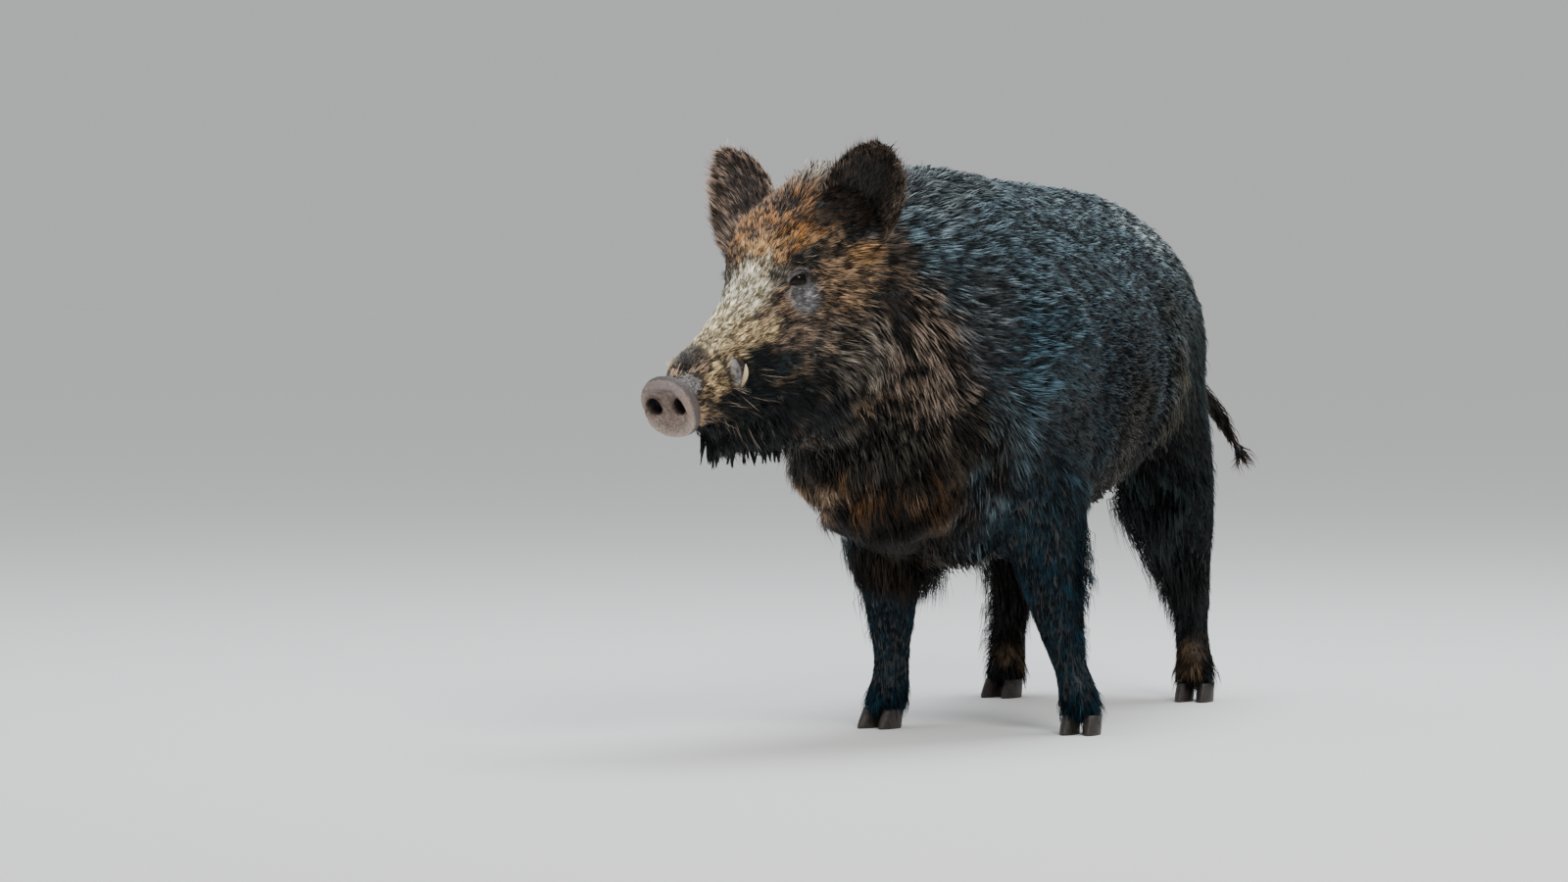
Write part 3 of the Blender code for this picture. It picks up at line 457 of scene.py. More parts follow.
def coatAt(points, masks):
    # blends the base coats by node, then lays the patches over them
    fields = {}
    for index, field in enumerate(coatFields):
        rows = []
        for name in fleshNodes:
            value = baseCoat[name.split("_")[0] if "leg" in name else name][index]
            rows.append(srgb(value) if field in ("root", "tip") else np.atleast_1d(value))
        fields[field] = masks @ np.array(rows)
    spots = {"head": headCoords(points), "body": bodyCoords(points)}
    nearHead = smoothStep(0.62, 0.40, spots["head"][:, 0])
    for where, grain in (("body", 0.07), ("head", 0.035)):
        ragged = ripple(points, grain, 43)
        for at, size, root, tip, other in patches[where]:
            spot = spots[where].copy()
            if at[1] >= 0:
                spot[:, 1] = np.abs(spot[:, 1])
            away = np.sqrt((((spot - np.array(at)) / np.array(size)) ** 2).sum(-1))
            away += other.get("ragged", 0.16) * ragged
            weight = smoothStep(*other.get("fade", (1.30, 0.65)), away)[:, None]
            weight *= nearHead[:, None] if where == "head" else 1.0
            for field, value in (("root", srgb(root)), ("tip", srgb(tip)), *other.items()):
                if field in fields:
                    fields[field] = fields[field] * (1 - weight) + value * weight
    # the hair along each parting is darkened: painted shade in the groove
    for parting in partings:
        share = partingShare(points, parting)[:, None]
        for field in ("root", "tip"):
            fields[field] = fields[field] * (1 - share * (1 - parting["keep"]))
        fields["length"] = fields["length"] * (1 - 0.25 * share)
    low = smoothStep(0.30, 0.10, points[:, 2]) * masks[:, 5:].sum(-1)    # shorter and closer down the legs
    for field, share in (("depth", 0.50), ("length", 0.62), ("width", 0.78), ("spacing", 0.74)):
        fields[field] *= (1 - low * (1 - share))[:, None]
    foot = (smoothStep(0.090, 0.058, points[:, 2]) * masks[:, 5:].sum(-1))[:, None]     # over the claws
    fields["length"] = fields["length"] * (1 - foot) + 0.027 * foot
    fields["lift"] = fields["lift"] * (1 - foot) + 13.0 * foot
    return fields


def layAt(points, normals, masks):
    # which way the hair lies
    body, head = bodyCoords(points), headCoords(points)
    f, s, z = body.T
    b, hs, u = head.T
    col = lambda a: a[:, None]
    side = col(np.sign(hs)) * headLeft
    rear = -headAhead
    low = smoothStep(0.50, 0.38, z)
    trunk = back + down * col(0.13 - 0.07 * bell(z - 0.58, 0.10) + 0.45 * low
                              + 1.0 * bell(f + 0.53, 0.07) * smoothStep(0.72, 0.52, z)
                              + 0.9 * smoothStep(-0.60, -0.80, f) - 0.2 * smoothStep(0.38, 0.30, z))
    trunk += col(np.sign(s) * 0.25 * smoothStep(0.76, 0.84, z)) * np.array([1.0, 0.0, 0.0])
    ruff = smoothStep(0.20, 0.30, f) * smoothStep(0.74, 0.56, z)
    breast = smoothStep(0.52, 0.40, z)
    neck = back * col(1 - 0.30 * breast) + down * col(0.13 + 0.45 * ruff + 1.10 * breast)
    neck += col(np.sign(s) * 0.3 * smoothStep(0.74, 0.84, z)) * np.array([1.0, 0.0, 0.0])
    rearSide = smoothStep(0.0, 0.7, normals @ back)
    leg = down * 1.0 + back * col(0.12 + 0.35 * smoothStep(0.15, 0.42, z) + 0.30 * rearSide)
    shoulder = col(smoothStep(0.34, 0.50, z) * smoothStep(-0.35, -0.25, f))
    leg = leg * (1 - shoulder) + (back + down * 0.22) * shoulder
    tail = unit(np.array([0.35, 0.10, -1.0])) + np.zeros_like(points)
    tail = np.where(col(z) > 0.60, unit(np.array([0.1, 1.0, -0.9])), tail)
    high = smoothStep(0.03, 0.10, u - 0.25 * (b - 0.2))
    crown = smoothStep(0.24, 0.36, b) * high
    under = smoothStep(-0.04, -0.12, u)
    cheek = smoothStep(0.16, 0.28, b) * (1 - high)
    headWay = rear + side * col(0.10 * high + 0.55 * crown * np.abs(hs) / 0.08 - 0.10 * cheek)
    headWay = headWay - headUp * col(0.12 * (1 - high) + 0.45 * cheek + 0.55 * under)
    headWay = headWay + down * col(1.1 * smoothStep(0.27, 0.36, b) * smoothStep(0.03, -0.06, u))
    headWay = headWay + down * col(0.55 * under + 0.25 * cheek * under)
    for socket in eyeAxes:
        off = points - socket["centre"]
        near = np.exp(-((off ** 2).sum(-1) / 0.030 ** 2))
        headWay += col(near * 14.0) * off
    jaw = rear * 0.6 + down * 1.0
    ways = [headWay, jaw, neck, trunk, tail, leg, leg, leg, leg]
    return sum(masks[:, [i]] * unit(w) for i, w in enumerate(ways))


eyeSetting = {
    "radius": 0.0135,
    "sunk": 0.0032,         # how far the ball is set in
    "farther": 0.0080,      # and back along the head
    "gazeTilt": -8.0,       # degrees the opening falls towards the back
    "front": 0.0158, "rear": 0.0130, "top": 0.0084, "bottom": 0.0072,   # reach of the opening
    "tearFrom": (-0.0145, -0.0010), "tearTo": (-0.0275, -0.0150),
    # millimetres from the edge of the lid, metres the lid stands off the ball
    "lidRise": ([-0.35, 0.3, 0.9, 2.1, 6.0], [0.0003, 0.0012, 0.0019, 0.0021, 0.0016]),
}


def eyeSockets():
    found = []
    for name, side in (("eye_left", 1), ("eye_right", -1)):
        low, high = (np.array(v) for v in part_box(name))
        centre = (low + high) / 2 - headAhead * eyeSetting["farther"]
        looks = unit(headLeft * side + headAhead * 0.30 + headUp * 0.10)
        tilt = math.radians(eyeSetting["gazeTilt"])
        along = -headAhead * math.cos(tilt) + headUp * math.sin(tilt)
        along = unit(along - looks * (along @ looks))
        rise = np.cross(looks, along) * side
        rise = rise if rise @ headUp > 0 else -rise
        found.append({"name": name, "side": side, "centre": centre - looks * eyeSetting["sunk"],
                      "looks": looks, "along": along, "rise": rise})
    return found


eyeAxes = eyeSockets()


def ballHeight(r):
    radius = eyeSetting["radius"]
    edge = 0.82 * radius
    flat = math.sqrt(radius ** 2 - edge ** 2)
    return np.where(r < edge, np.sqrt(np.maximum(radius ** 2 - r ** 2, 0)), flat - (r - edge) * 0.9)


def lidContour(angle):
    c, s = np.cos(angle), np.sin(angle)
    x = np.where(c > 0, eyeSetting["rear"], eyeSetting["front"]) * np.sign(c) * np.abs(c) ** 0.92
    y = np.where(s > 0, eyeSetting["top"], eyeSetting["bottom"]) * np.sign(s) * np.abs(s) ** 1.15
    return x, y


def lidPatch(socket, tree):
    # worked skin round one eye: margin, lids, creases and the corner, easing out to the hide
    angles = np.linspace(0, 2 * math.pi, 97)[:-1]
    steps = np.array([-2.6, -1.3, -0.35, 0.3, 0.9, 1.5, 2.1, 2.8, 3.6, 4.4, 5.2, 6.0, 6.9, 7.8, 8.8, 9.9,
                      11.1, 12.4, 13.8, 15.4, 17.2, 19.2, 21.2, 23.0]) / 1000.0
    x0, y0 = lidContour(angles)
    outX, outY = np.cos(angles), np.sin(angles)
    rings, marks = [], []
    for d in steps:
        fold = lambda middle, width: math.exp(-((d - middle) / width) ** 2)
        x, y = x0 + outX * d, y0 + outY * d
        top, low = smoothStep(-0.2, 0.8, outY), smoothStep(0.2, -0.8, outY)
        slot = np.stack([x, y], -1) - eyeSetting["tearFrom"]    # the dark slit from the corner
        run = np.array(eyeSetting["tearTo"]) - eyeSetting["tearFrom"]
        part = np.clip(slot @ run / (run @ run), 0.0, 1.0)
        tear = np.linalg.norm(slot - part[:, None] * run, axis=1)
        ramble = ripple(np.stack([x, y, x * 0], -1), 0.012, 61)
        r = np.hypot(x, y)
        ball = ballHeight(np.minimum(r, 0.0175))
        if d < -0.0005:
            height = ball - 0.0012 - (0.0012 if d < -0.002 else 0.0)
        else:
            lid = ball + np.interp(d * 1000, *eyeSetting["lidRise"])
            lid += 0.0009 * top * fold(0.0022, 0.0016)
            skin = np.empty(len(angles))
            for i in range(len(angles)):
                at = socket["centre"] + socket["along"] * x[i] + socket["rise"] * y[i]
                start = Vector(at + socket["looks"] * 0.05)
                hit = tree.ray_cast(start, Vector(-socket["looks"]))
                skin[i] = 0.05 - hit[3] if hit[0] is not None else ball[i]
            share = smoothStep(0.0015, 0.0185, d)
            height = lid * (1 - share) + (skin + 0.0002) * share
            height += top * (-0.0016 * fold(0.0056, 0.0011)
                             + 0.0022 * fold(0.0100, 0.0034)
                             - 0.0009 * fold(0.0150, 0.0016))
            height += low * (-0.0010 * fold(0.0042, 0.0009)
                             + 0.0013 * fold(0.0068, 0.0019)
                             - 0.0010 * fold(0.0104, 0.0012)
                             + 0.0007 * fold(0.0132, 0.0018))
            height += 0.0010 * bell(tear - 0.0036, 0.0017) - 0.0026 * bell(tear, 0.0013)
            if d > 0.0210:
                height -= 0.0016 * (d - 0.0210) / 0.0020
        rings.append(socket["centre"] + np.outer(x, socket["along"]) + np.outer(y, socket["rise"])
                     + np.outer(height, socket["looks"]))
        # dark: the lid margin and the line from the corner, and painted shade along the upper and lower lid
        # creases
        dark = np.maximum.reduce([np.full(len(angles), float(smoothStep(0.0030, 0.0004, d))),
                                  0.85 * top * fold(0.0056, 0.0011),
                                  0.45 * low * fold(0.0042, 0.0009),
                                  0.95 * bell(tear, 0.0015)])
        reach = 0.0070 + 0.0030 * top + 0.0010 * ramble
        naked = np.maximum(smoothStep(reach, reach - 0.0035, d),
                           smoothStep(0.0068, 0.0042, tear + 0.0006 * ramble))
        pink = oval(x + 0.0105, 0.0042, y + 0.0072, 0.0026)
        pale = np.maximum(0.42 * top * fold(0.0088, 0.0020), 0.55 * pink)
        pale = np.maximum(pale, 0.35 * bell(tear - 0.0040, 0.0016))
        marks.append(np.stack([np.full(len(angles), d), dark, naked, pale], -1))
    rings = np.array(rings)
    points, triangles = ringsToMesh(rings, False, False)
    normal = pointNormals(points, triangles)
    if (normal @ socket["looks"]).mean() < 0:
        triangles = triangles[:, ::-1]
    return points, triangles, np.concatenate(marks)


earShape = {
    "length": 0.184,
    "inset": 0.0032,    # the hide lies this far inside the coat
    "wall": 0.0062,
    "rows": 44, "spokes": 26,
    # along the ear, half width across the opening, half angle it wraps round
    "profile": [(0.00, 0.034, 100.0), (0.12, 0.048, 92.0), (0.28, 0.0605, 80.0), (0.45, 0.0640, 70.0),
                (0.62, 0.0605, 62.0), (0.77, 0.0510, 56.0), (0.89, 0.036, 52.0), (0.97, 0.019, 50.0),
                (1.00, 0.007, 50.0)],
    # base and tip in the head's frame, degrees the opening looks aside from straight ahead
    "set": {1: ((0.374, 0.086, 0.098), (0.439, 0.147, 0.216), 28.0),
            -1: ((0.428, 0.154, 0.074), (0.472, 0.196, 0.192), -4.0)},
}


def earAxes(side):
    base, tip, faces = earShape["set"][side]
    base = onHead(base[0], side * base[1], base[2])
    tip = onHead(tip[0], side * tip[1], tip[2])
    along = unit(tip - base)
    level = unit(np.array([headAhead[0], headAhead[1], 0.0]))
    turn = math.radians(faces)
    looks = level * math.cos(turn) + headLeft * (side * math.sin(turn))
    across = unit(np.cross(along, looks))
    return tip - along * earShape["length"], along, across, np.cross(across, along)


def cupShare(points):
    # 1 where the hide of the head closes the bottom of an ear's cup
    table, share = np.array(earShape["profile"]), np.zeros(len(points))
    for side in (1, -1):
        root, along, across, looks = earAxes(side)
        off = points - root
        t, aside, ahead = off @ along / earShape["length"], np.abs(off @ across), off @ looks
        half = np.interp(t, table[:, 0], table[:, 1])
        share = np.maximum(share, smoothStep(0.85, 0.70, t) * smoothStep(0.24, 0.36, t)
                           * smoothStep(1.0, 0.78, aside / half) * smoothStep(-0.052, -0.030, ahead)
                           * smoothStep(0.050, 0.020, ahead))
    return share


def earShell(side):
    root, along, across, looks = earAxes(side)
    table = np.array(earShape["profile"])
    rings, lay, info = [], [], []
    for t in np.linspace(0.0, 0.985, earShape["rows"]) ** 0.9:
        half = np.interp(t, table[:, 0], table[:, 1])
        wrap = math.radians(np.interp(t, table[:, 0], table[:, 2]))
        radius = half / math.sin(min(wrap, math.pi / 2))
        inset = min(earShape["inset"], half * 0.3)
        wall = min(earShape["wall"], half * 0.5)
        centre = root + along * (t * earShape["length"]) + looks * (radius * math.cos(wrap) * 0.5)
        share = np.linspace(-1, 1, earShape["spokes"])
        angle = share * (wrap - inset / radius)
        edge = np.sqrt(np.maximum(np.cos(0.5 * math.pi * share), 0.0))
        spoke = np.outer(np.sin(angle), across) - np.outer(np.cos(angle), looks)
        tangent = np.outer(np.cos(angle), across) + np.outer(np.sin(angle), looks)
        ridge = 0.0016 * bell(share - 0.45, 0.10) + 0.0014 * bell(share + 0.30, 0.09)
        ridge *= smoothStep(0.05, 0.25, t) * smoothStep(0.85, 0.6, t)
        outer = centre + spoke * (radius - inset)
        inner = centre + spoke * (radius - inset - wall * (0.18 + 0.82 * edge) - ridge)[:, None]
        rings.append(np.vstack([outer, inner[::-1]]))
        flare = along * (0.55 + 0.45 * t) + tangent * (share * (0.5 + 0.3 * abs(t)))[:, None]
        outWay = along + tangent * (share * 0.45)[:, None]
        lay.append(np.vstack([outWay, flare[::-1]]))
        info.append(np.vstack([np.stack([np.full(len(share), t), share, np.zeros(len(share))], -1),
                               np.stack([np.full(len(share), t), share[::-1], np.ones(len(share))], -1)]))
    points, triangles = ringsToMesh(np.array(rings))
    lay, info = np.array(lay).reshape(-1, 3), np.array(info).reshape(-1, 3)
    lay = np.vstack([lay, along, along])
    info = np.vstack([info, [0.0, 0.0, 0.0], [1.0, 0.0, 0.0]])
    info = np.hstack([info, np.full((len(info), 1), side < 0)])
    return points, triangles, unit(lay), info


tuskShape = {
    # behind, side, above, radius
    "line": [(0.100, 0.026, -0.036, 0.0080), (0.104, 0.038, -0.024, 0.0078),
             (0.110, 0.0490, -0.013, 0.0070), (0.1142, 0.0560, -0.004, 0.0058),
             (0.1170, 0.0585, 0.005, 0.0040), (0.1188, 0.0592, 0.0135, 0.0009)],
    "flatness": 0.66, "rows": 30, "spokes": 20,
}


def tuskLine():
    table = np.array(tuskShape["line"])
    at = np.linspace(0, len(table) - 1, tuskShape["rows"])
    filled = np.stack([np.interp(at, np.arange(len(table)), table[:, k]) for k in range(4)], -1)
    for _ in range(6):
        filled[1:-1] = 0.25 * filled[:-2] + 0.5 * filled[1:-1] + 0.25 * filled[2:]
    return filled


def padShare(b, a, u):
    # 1 on the rim of the lip pad, less inside it
    off = np.stack([b - 0.103 - 0.18 * (u - 0.006), a - 0.050, u - 0.006], -1)
    off /= np.array([0.0130, 0.030, 0.0225])
    return np.where(a > 0.018, np.sqrt((off ** 2).sum(-1)), 9.0)


# behind the disc and above it
mouthLine = ([0.0, 0.03, 0.07, 0.10, 0.14, 0.19], [-0.034, -0.046, -0.052, -0.050, -0.058, -0.070])


def addFolds(points, normals):
    # mouth line, hollow before the eye, folds behind the disc, swelling over the tusk, partings of the coat
    b, s, u = headCoords(points).T
    a = np.abs(s)
    move = np.zeros(len(points))
    line = np.interp(b, *mouthLine)
    onSide = smoothStep(0.010, 0.022, a) * smoothStep(0.19, 0.15, b)
    move -= 0.0055 * bell(u - line, 0.0038) * onSide
    move += 0.0030 * bell(u - line + 0.011, 0.006) * onSide
    move += 0.0022 * bell(u - line - 0.010, 0.006) * onSide
    for at, depth in ((0.023, 0.0022), (0.029, 0.0014), (0.036, 0.0016), (0.044, 0.0010)):
        move -= depth * bell(b - at - 0.12 * a, 0.0020) * smoothStep(-0.02, 0.0, u)
    move -= 0.0040 * oval(b - 0.222, 0.022, u - 0.052, 0.016) * smoothStep(0.04, 0.06, a)
    move += 0.0035 * oval(b - 0.285, 0.030, u - 0.118, 0.013) * smoothStep(0.04, 0.06, a)
    move += 0.0085 * oval(b - 0.057, 0.030, s, 0.032) * smoothStep(0.0, 0.03, u)
    move += 0.0110 * oval(b - 0.330, 0.050, a - 0.062, 0.036) * smoothStep(0.08, 0.13, u)
    move += 0.0050 * oval(b - 0.425, 0.055, s, 0.055) * smoothStep(0.10, 0.15, u)
    pad = padShare(b, a, u)         # the naked swelling of the lip in front of each tusk
    move += 0.0062 * smoothStep(1.25, 0.45, pad) - 0.0022 * bell(pad - 1.42, 0.22)
    move += 0.0004 * ripple(points, 0.012, 5)
    f, s, z = bodyCoords(points).T
    for parting in partings:
        move -= parting["deep"] * partingShare(points, parting)
    move += 0.0050 * oval(f + 0.51, 0.075, z - 0.55, 0.12) * smoothStep(0.06, 0.12, np.abs(s))
    return points + normals * move[:, None]


points, triangles = fusedFlesh()
labels = nodeLabels(points)
pairs = edgePairs(triangles)
masks = evened(np.eye(len(fleshNodes))[labels], pairs, 14)
normals = pointNormals(points, triangles)
coat = coatAt(points, masks)
depth = evened(coat["depth"][:, 0], pairs, 6)
inward = normals.copy()
soles = (points[:, 2] < hide["soleHeight"]) & (masks[:, 5:].sum(-1) > 0.5)
inward[soles, 2] = 0.0
points = points - inward * depth[:, None]
normals = pointNormals(points, triangles)
points = addFolds(points, normals)
print("hide", len(points), "points", len(triangles), "triangles")

tree = BVHTree.FromPolygons([Vector(p) for p in points], [list(map(int, t)) for t in triangles])
lids = [lidPatch(socket, tree) for socket in eyeAxes]
drawnBack = np.zeros(len(points))
for socket in eyeAxes:      # the plain hide is drawn back under the lids
    off = points - socket["centre"]
    x, y, h = off @ socket["along"], off @ socket["rise"], off @ socket["looks"]
    lidX, lidY = lidContour(np.arctan2(y, x))
    sink = smoothStep(0.0215, 0.0165, np.hypot(x, y) - np.hypot(lidX, lidY)) * (np.abs(h) < 0.03)
    points = points - np.outer(sink * 0.0085, socket["looks"])
    drawnBack = np.maximum(drawnBack, sink > 0.3)
ears = {side: earShell(side) for side in (1, -1)}
hideCount, headMask = len(points), np.eye(len(fleshNodes))[0]
shells = [(points, triangles)] + [(p, t) for p, t, _ in lids] + [(p, t) for p, t, _, _ in ears.values()]
points, triangles = joined(shells)
masks = np.vstack([masks, np.tile(headMask, (len(points) - hideCount, 1))])
earCount = sum(len(p) for p, _, _, _ in ears.values())
lidMarks = np.vstack([np.zeros((hideCount, 4))] + [marks for _, _, marks in lids]
                     + [np.zeros((earCount, 4))])
hidden = np.concatenate([drawnBack, np.zeros(len(points) - hideCount)])
hidden = np.maximum(hidden, lidMarks[:, 2] > 0.55)
earStart = hideCount + sum(len(p) for p, _, _ in lids)
earInfo = np.vstack([np.zeros((earStart, 4))] + [info for _, _, _, info in ears.values()])
isEar = np.arange(len(points)) >= earStart
normals = pointNormals(points, triangles)
pairs = edgePairs(triangles)
coat = coatAt(points, masks)
lay = evened(layAt(points, normals, masks), pairs, 8)
lay[isEar] = np.vstack([way for _, _, way, _ in ears.values()])


def earCoat(info):
    # hair of the ears: short outside, longer and flaring to the rim inside
    t, share, inside = info[:, :3].T
    rim = smoothStep(0.55, 0.98, np.maximum(np.abs(share), smoothStep(0.7, 1.0, t)))
    cup = inside * smoothStep(0.75, 0.25, np.abs(share)) * smoothStep(0.95, 0.55, t)
    blend = lambda a, b, w: srgb(a) * (1 - w[:, None]) + srgb(b) * w[:, None]
    far = info[:, 3]
    # painted shade and light in the cups: the near ear's cup is darkened as painted shade, the far ear's cup
    # made paler as painted light
    rootTint = blend((38, 31, 27), (7, 5, 3), cup * (1 - 0.8 * far))
    tipTint = blend((128, 112, 101), (142, 123, 108), rim)
    lit = (far * inside)[:, None]       # the cup of the far ear is paler
    rootTint, tipTint = rootTint * (0.5 + 1.4 * lit), tipTint * (0.6 + 2.0 * lit)
    # deep: painted shade in the near ear's cup
    deep = (cup * (1 - 0.9 * far))[:, None]
    tipTint = tipTint * (1 - deep) + srgb((48, 37, 28)) * deep
    fringe = rim * (1 - smoothStep(0.8, 1.0, t))
    return {"depth": np.full(len(t), 0.003), "width": np.full(len(t), 0.0013), "clump": np.full(len(t), 0.3),
            "length": 0.0105 + 0.006 * inside * (1 - 0.5 * cup) + 0.0045 * fringe,
            "lift": 12.0 + 6.0 * inside * (1 - cup) + 4.0 * rim, "spacing": 0.0023 + 0.0006 * cup,
            "root": rootTint, "tip": tipTint}


# the bottom of each ear's cup on the hide is darkened: painted shade
inCup = (cupShare(points) * ~isEar)[:, None]
for field, value in (("root", srgb((7, 5, 3))), ("tip", srgb((60, 47, 36))),
                     ("length", 0.015), ("lift", 13.0)):
    coat[field] = coat[field] * (1 - inCup) + value * inCup
earFields = earCoat(earInfo[isEar])
for field in coatFields:
    value = earFields[field]
    coat[field][isEar] = value if value.ndim == 2 else value[:, None]
lay = unit(lay - normals * dot(lay, normals))
bare, dark, pale = lidMarks[:, 2], lidMarks[:, 1], lidMarks[:, 3]
headSpot = headCoords(points)
behind, aside, above = headSpot[:, 0], np.abs(headSpot[:, 1]), headSpot[:, 2]
underEye = np.sqrt(((np.stack([behind, aside, above], -1) - (0.256, 0.080, 0.060)) ** 2
                    / np.array([0.018, 0.028, 0.011]) ** 2).sum(-1))
bare = np.maximum(bare, 0.40 * smoothStep(1.15, 0.6, underEye))
lipPad = smoothStep(1.15, 0.90, padShare(behind, aside, above))


def nakedSpot(at, size):
    away = np.sqrt((((np.stack([behind, aside, above], -1) - at) / size) ** 2).sum(-1))
    return smoothStep(1.15, 0.75, away + 0.12 * ripple(points, 0.014, 62)) * ~isEar


collar = nakedSpot(np.array([0.029, 0.026, 0.024]), np.array([0.018, 0.020, 0.016]))    # behind the disc
lowerLip = nakedSpot(np.array([0.038, 0.020, -0.047]), np.array([0.012, 0.012, 0.006]))
naked = np.maximum(lipPad, lowerLip)
bare = np.maximum.reduce([bare, naked, 0.8 * collar])
pale = np.maximum(pale, 0.40 * np.maximum(collar, lowerLip))
# the top of each lip pad paler: painted highlight
pale = np.maximum(pale, lipPad * 0.34 * smoothStep(0.008, 0.024, above))
hidden = np.maximum(hidden, naked > 0.45)
socketGap = np.min([np.linalg.norm(np.stack([behind, aside, above], -1) - row[:3], axis=1) - row[3]
                    for row in tuskLine()], axis=0)
dark = np.maximum(dark, smoothStep(0.0032, 0.0014, socketGap))      # the lip darker in a band about each tusk

hideMesh = triangleMesh("hide", points, triangles)
for field, values in (("rootTint", coat["root"]), ("tipTint", coat["tip"]),
                      ("bare", bare), ("dark", dark), ("pale", pale)):
    setField(hideMesh, field, values)
addPiece("hide", hideMesh, "coat", *fleshNodes, "ear_left", "ear_right")
print("hide with lids and ears", len(triangles), "triangles")

coatSetting = {
    "seed": 7,
    "rootSunk": 0.0009,
    "lockSpread": 5.0,      # a lock gathers the tufts within about this many spacings
    "patch": 0.0030,        # size of a tuft on the flat map
    "margin": 0.006,        # of the flat map
    "lowest": 0.0015,       # no hair reaches lower
    "lowestRoot": 0.022,
    "shortest": 0.0335,     # tufts shorter than this are made straight
}
draw = np.random.default_rng(coatSetting["seed"])


def rootsOnHide():
    corners = points[triangles]
    area = np.linalg.norm(np.cross(corners[:, 1] - corners[:, 0], corners[:, 2] - corners[:, 0]), axis=1) / 2
    want = (1.0 / coat["spacing"][:, 0] ** 2 * (1 - hidden))[triangles].mean(1) * area
    low = points[triangles][:, :, 2].mean(1)
    want[low < coatSetting["lowestRoot"]] = 0.0
    order = np.cumsum(want)
    count = int(order[-1])
    pick = np.searchsorted(order, (np.arange(count) + draw.random(count)) / count * order[-1])
    pick = np.minimum(pick, len(triangles) - 1)
    r1, r2 = np.sqrt(draw.random(count)), draw.random(count)
    share = np.stack([1 - r1, r1 * (1 - r2), r1 * r2], -1)
    return pick, share


pick, share = rootsOnHide()


def onRoots(values):
    weights = share[:, :, None] if values.ndim == 2 else share
    return (values[triangles[pick]] * weights).sum(1)


roots = onRoots(points)
rootNormals = unit(onRoots(normals))
rootLay = onRoots(lay)
swing = np.radians(4.5 * ripple(roots, 0.110, 11) + 3.5 * ripple(roots, 0.022, 12)
                   + 4.0 * draw.normal(size=len(roots)))
rootLay = unit(rootLay - rootNormals * dot(rootLay, rootNormals))
cross = np.cross(rootNormals, rootLay)
rootLay = rootLay * np.cos(swing)[:, None] + cross * np.sin(swing)[:, None]
rootFields = {field: onRoots(coat[field]) for field in coatFields}
rootMasks, rootEar, rootEarInfo = onRoots(masks), isEar[triangles[pick, 0]], onRoots(earInfo)
print("roots", len(roots))


def lockPull():
    # gathers the tips of neighbouring tufts into pointed locks
    spacing = rootFields["spacing"][:, 0]
    lock = draw.random(len(roots)) < 1.0 / coatSetting["lockSpread"] ** 1.5
    centres = np.flatnonzero(lock)
    finder = kdtree.KDTree(len(centres))
    for i, index in enumerate(centres):
        finder.insert(roots[index], i)
    finder.balance()
    owner = centres[np.array([finder.find(p)[1] for p in roots])]
    gap = roots[owner] - roots
    reach = np.linalg.norm(gap, axis=1)
    agree = (dot(rootNormals[owner], rootNormals)[:, 0] > 0.5) & (rootEar == rootEar[owner])
    hold = smoothStep(7.0, 3.0, reach / spacing) * agree
    along = dot(gap, rootLay) * rootLay
    aside = gap - along - rootNormals * dot(gap, rootNormals)
    pull = (aside * 0.95 + along * 0.35) * (rootFields["clump"][:, 0] * hold)[:, None]
    return owner, pull


owner, pull = lockPull()
lockTone = draw.normal(size=len(roots))[owner]
tone = 0.5 + 0.17 * draw.normal(size=len(roots)) + 0.18 * lockTone + 0.10 * ripple(roots, 0.03, 21)
length = rootFields["length"][:, 0] * np.exp(0.16 * draw.normal(size=len(roots)) + 0.08 * lockTone)
width = rootFields["width"][:, 0] * np.exp(0.18 * draw.normal(size=len(roots)))
lift = rootFields["lift"][:, 0] * np.clip(1 + 0.28 * draw.normal(size=len(roots)) + 0.15 * lockTone
                                           + 0.18 * ripple(roots, 0.07, 23), 0.3, 2.0)


def tuftShapes(chosen, curved):
    # thin three-sided spikes: the root ring, a middle ring if curved, and the tip
    root, normal, way = roots[chosen], rootNormals[chosen], rootLay[chosen]
    long, wide = length[chosen][:, None], width[chosen][:, None]
    side = np.cross(way, normal)
    first, last = np.radians(lift[chosen] * 1.35)[:, None], np.radians(lift[chosen] * 0.62)[:, None]
    start = root - normal * np.minimum(coatSetting["rootSunk"], long * 0.045)
    middle = start + (way * np.cos(first) + normal * np.sin(first)) * long * 0.5 + pull[chosen] * 0.42
    tip = start + (way * np.cos(last) + normal * np.sin(last)) * long + pull[chosen]

    def ring(centre, size):
        return [centre - side * size * 0.5, centre + normal * size * 0.42, centre + side * size * 0.5]

    if curved:
        shape = ring(start, wide) + ring(middle, wide * 0.86) + [tip]
        plan = [(2, 1, 0), (0, 1, 4), (0, 4, 3), (1, 2, 5), (1, 5, 4), (2, 0, 3), (2, 3, 5),
                (3, 4, 6), (4, 5, 6), (5, 3, 6)]
        along = np.array([0, 0, 0, 0.5, 0.5, 0.5, 1.0])
        across = np.array([-1, 0, 1, -1, 0, 1, 0]) * 0.5
    else:
        shape = ring(start, wide) + [tip]
        plan = [(2, 1, 0), (0, 1, 3), (1, 2, 3), (2, 0, 3)]
        along, across = np.array([0, 0, 0, 1.0]), np.array([-1, 0, 1, 0]) * 0.5
    return np.stack(shape, 1), np.array(plan), along, across


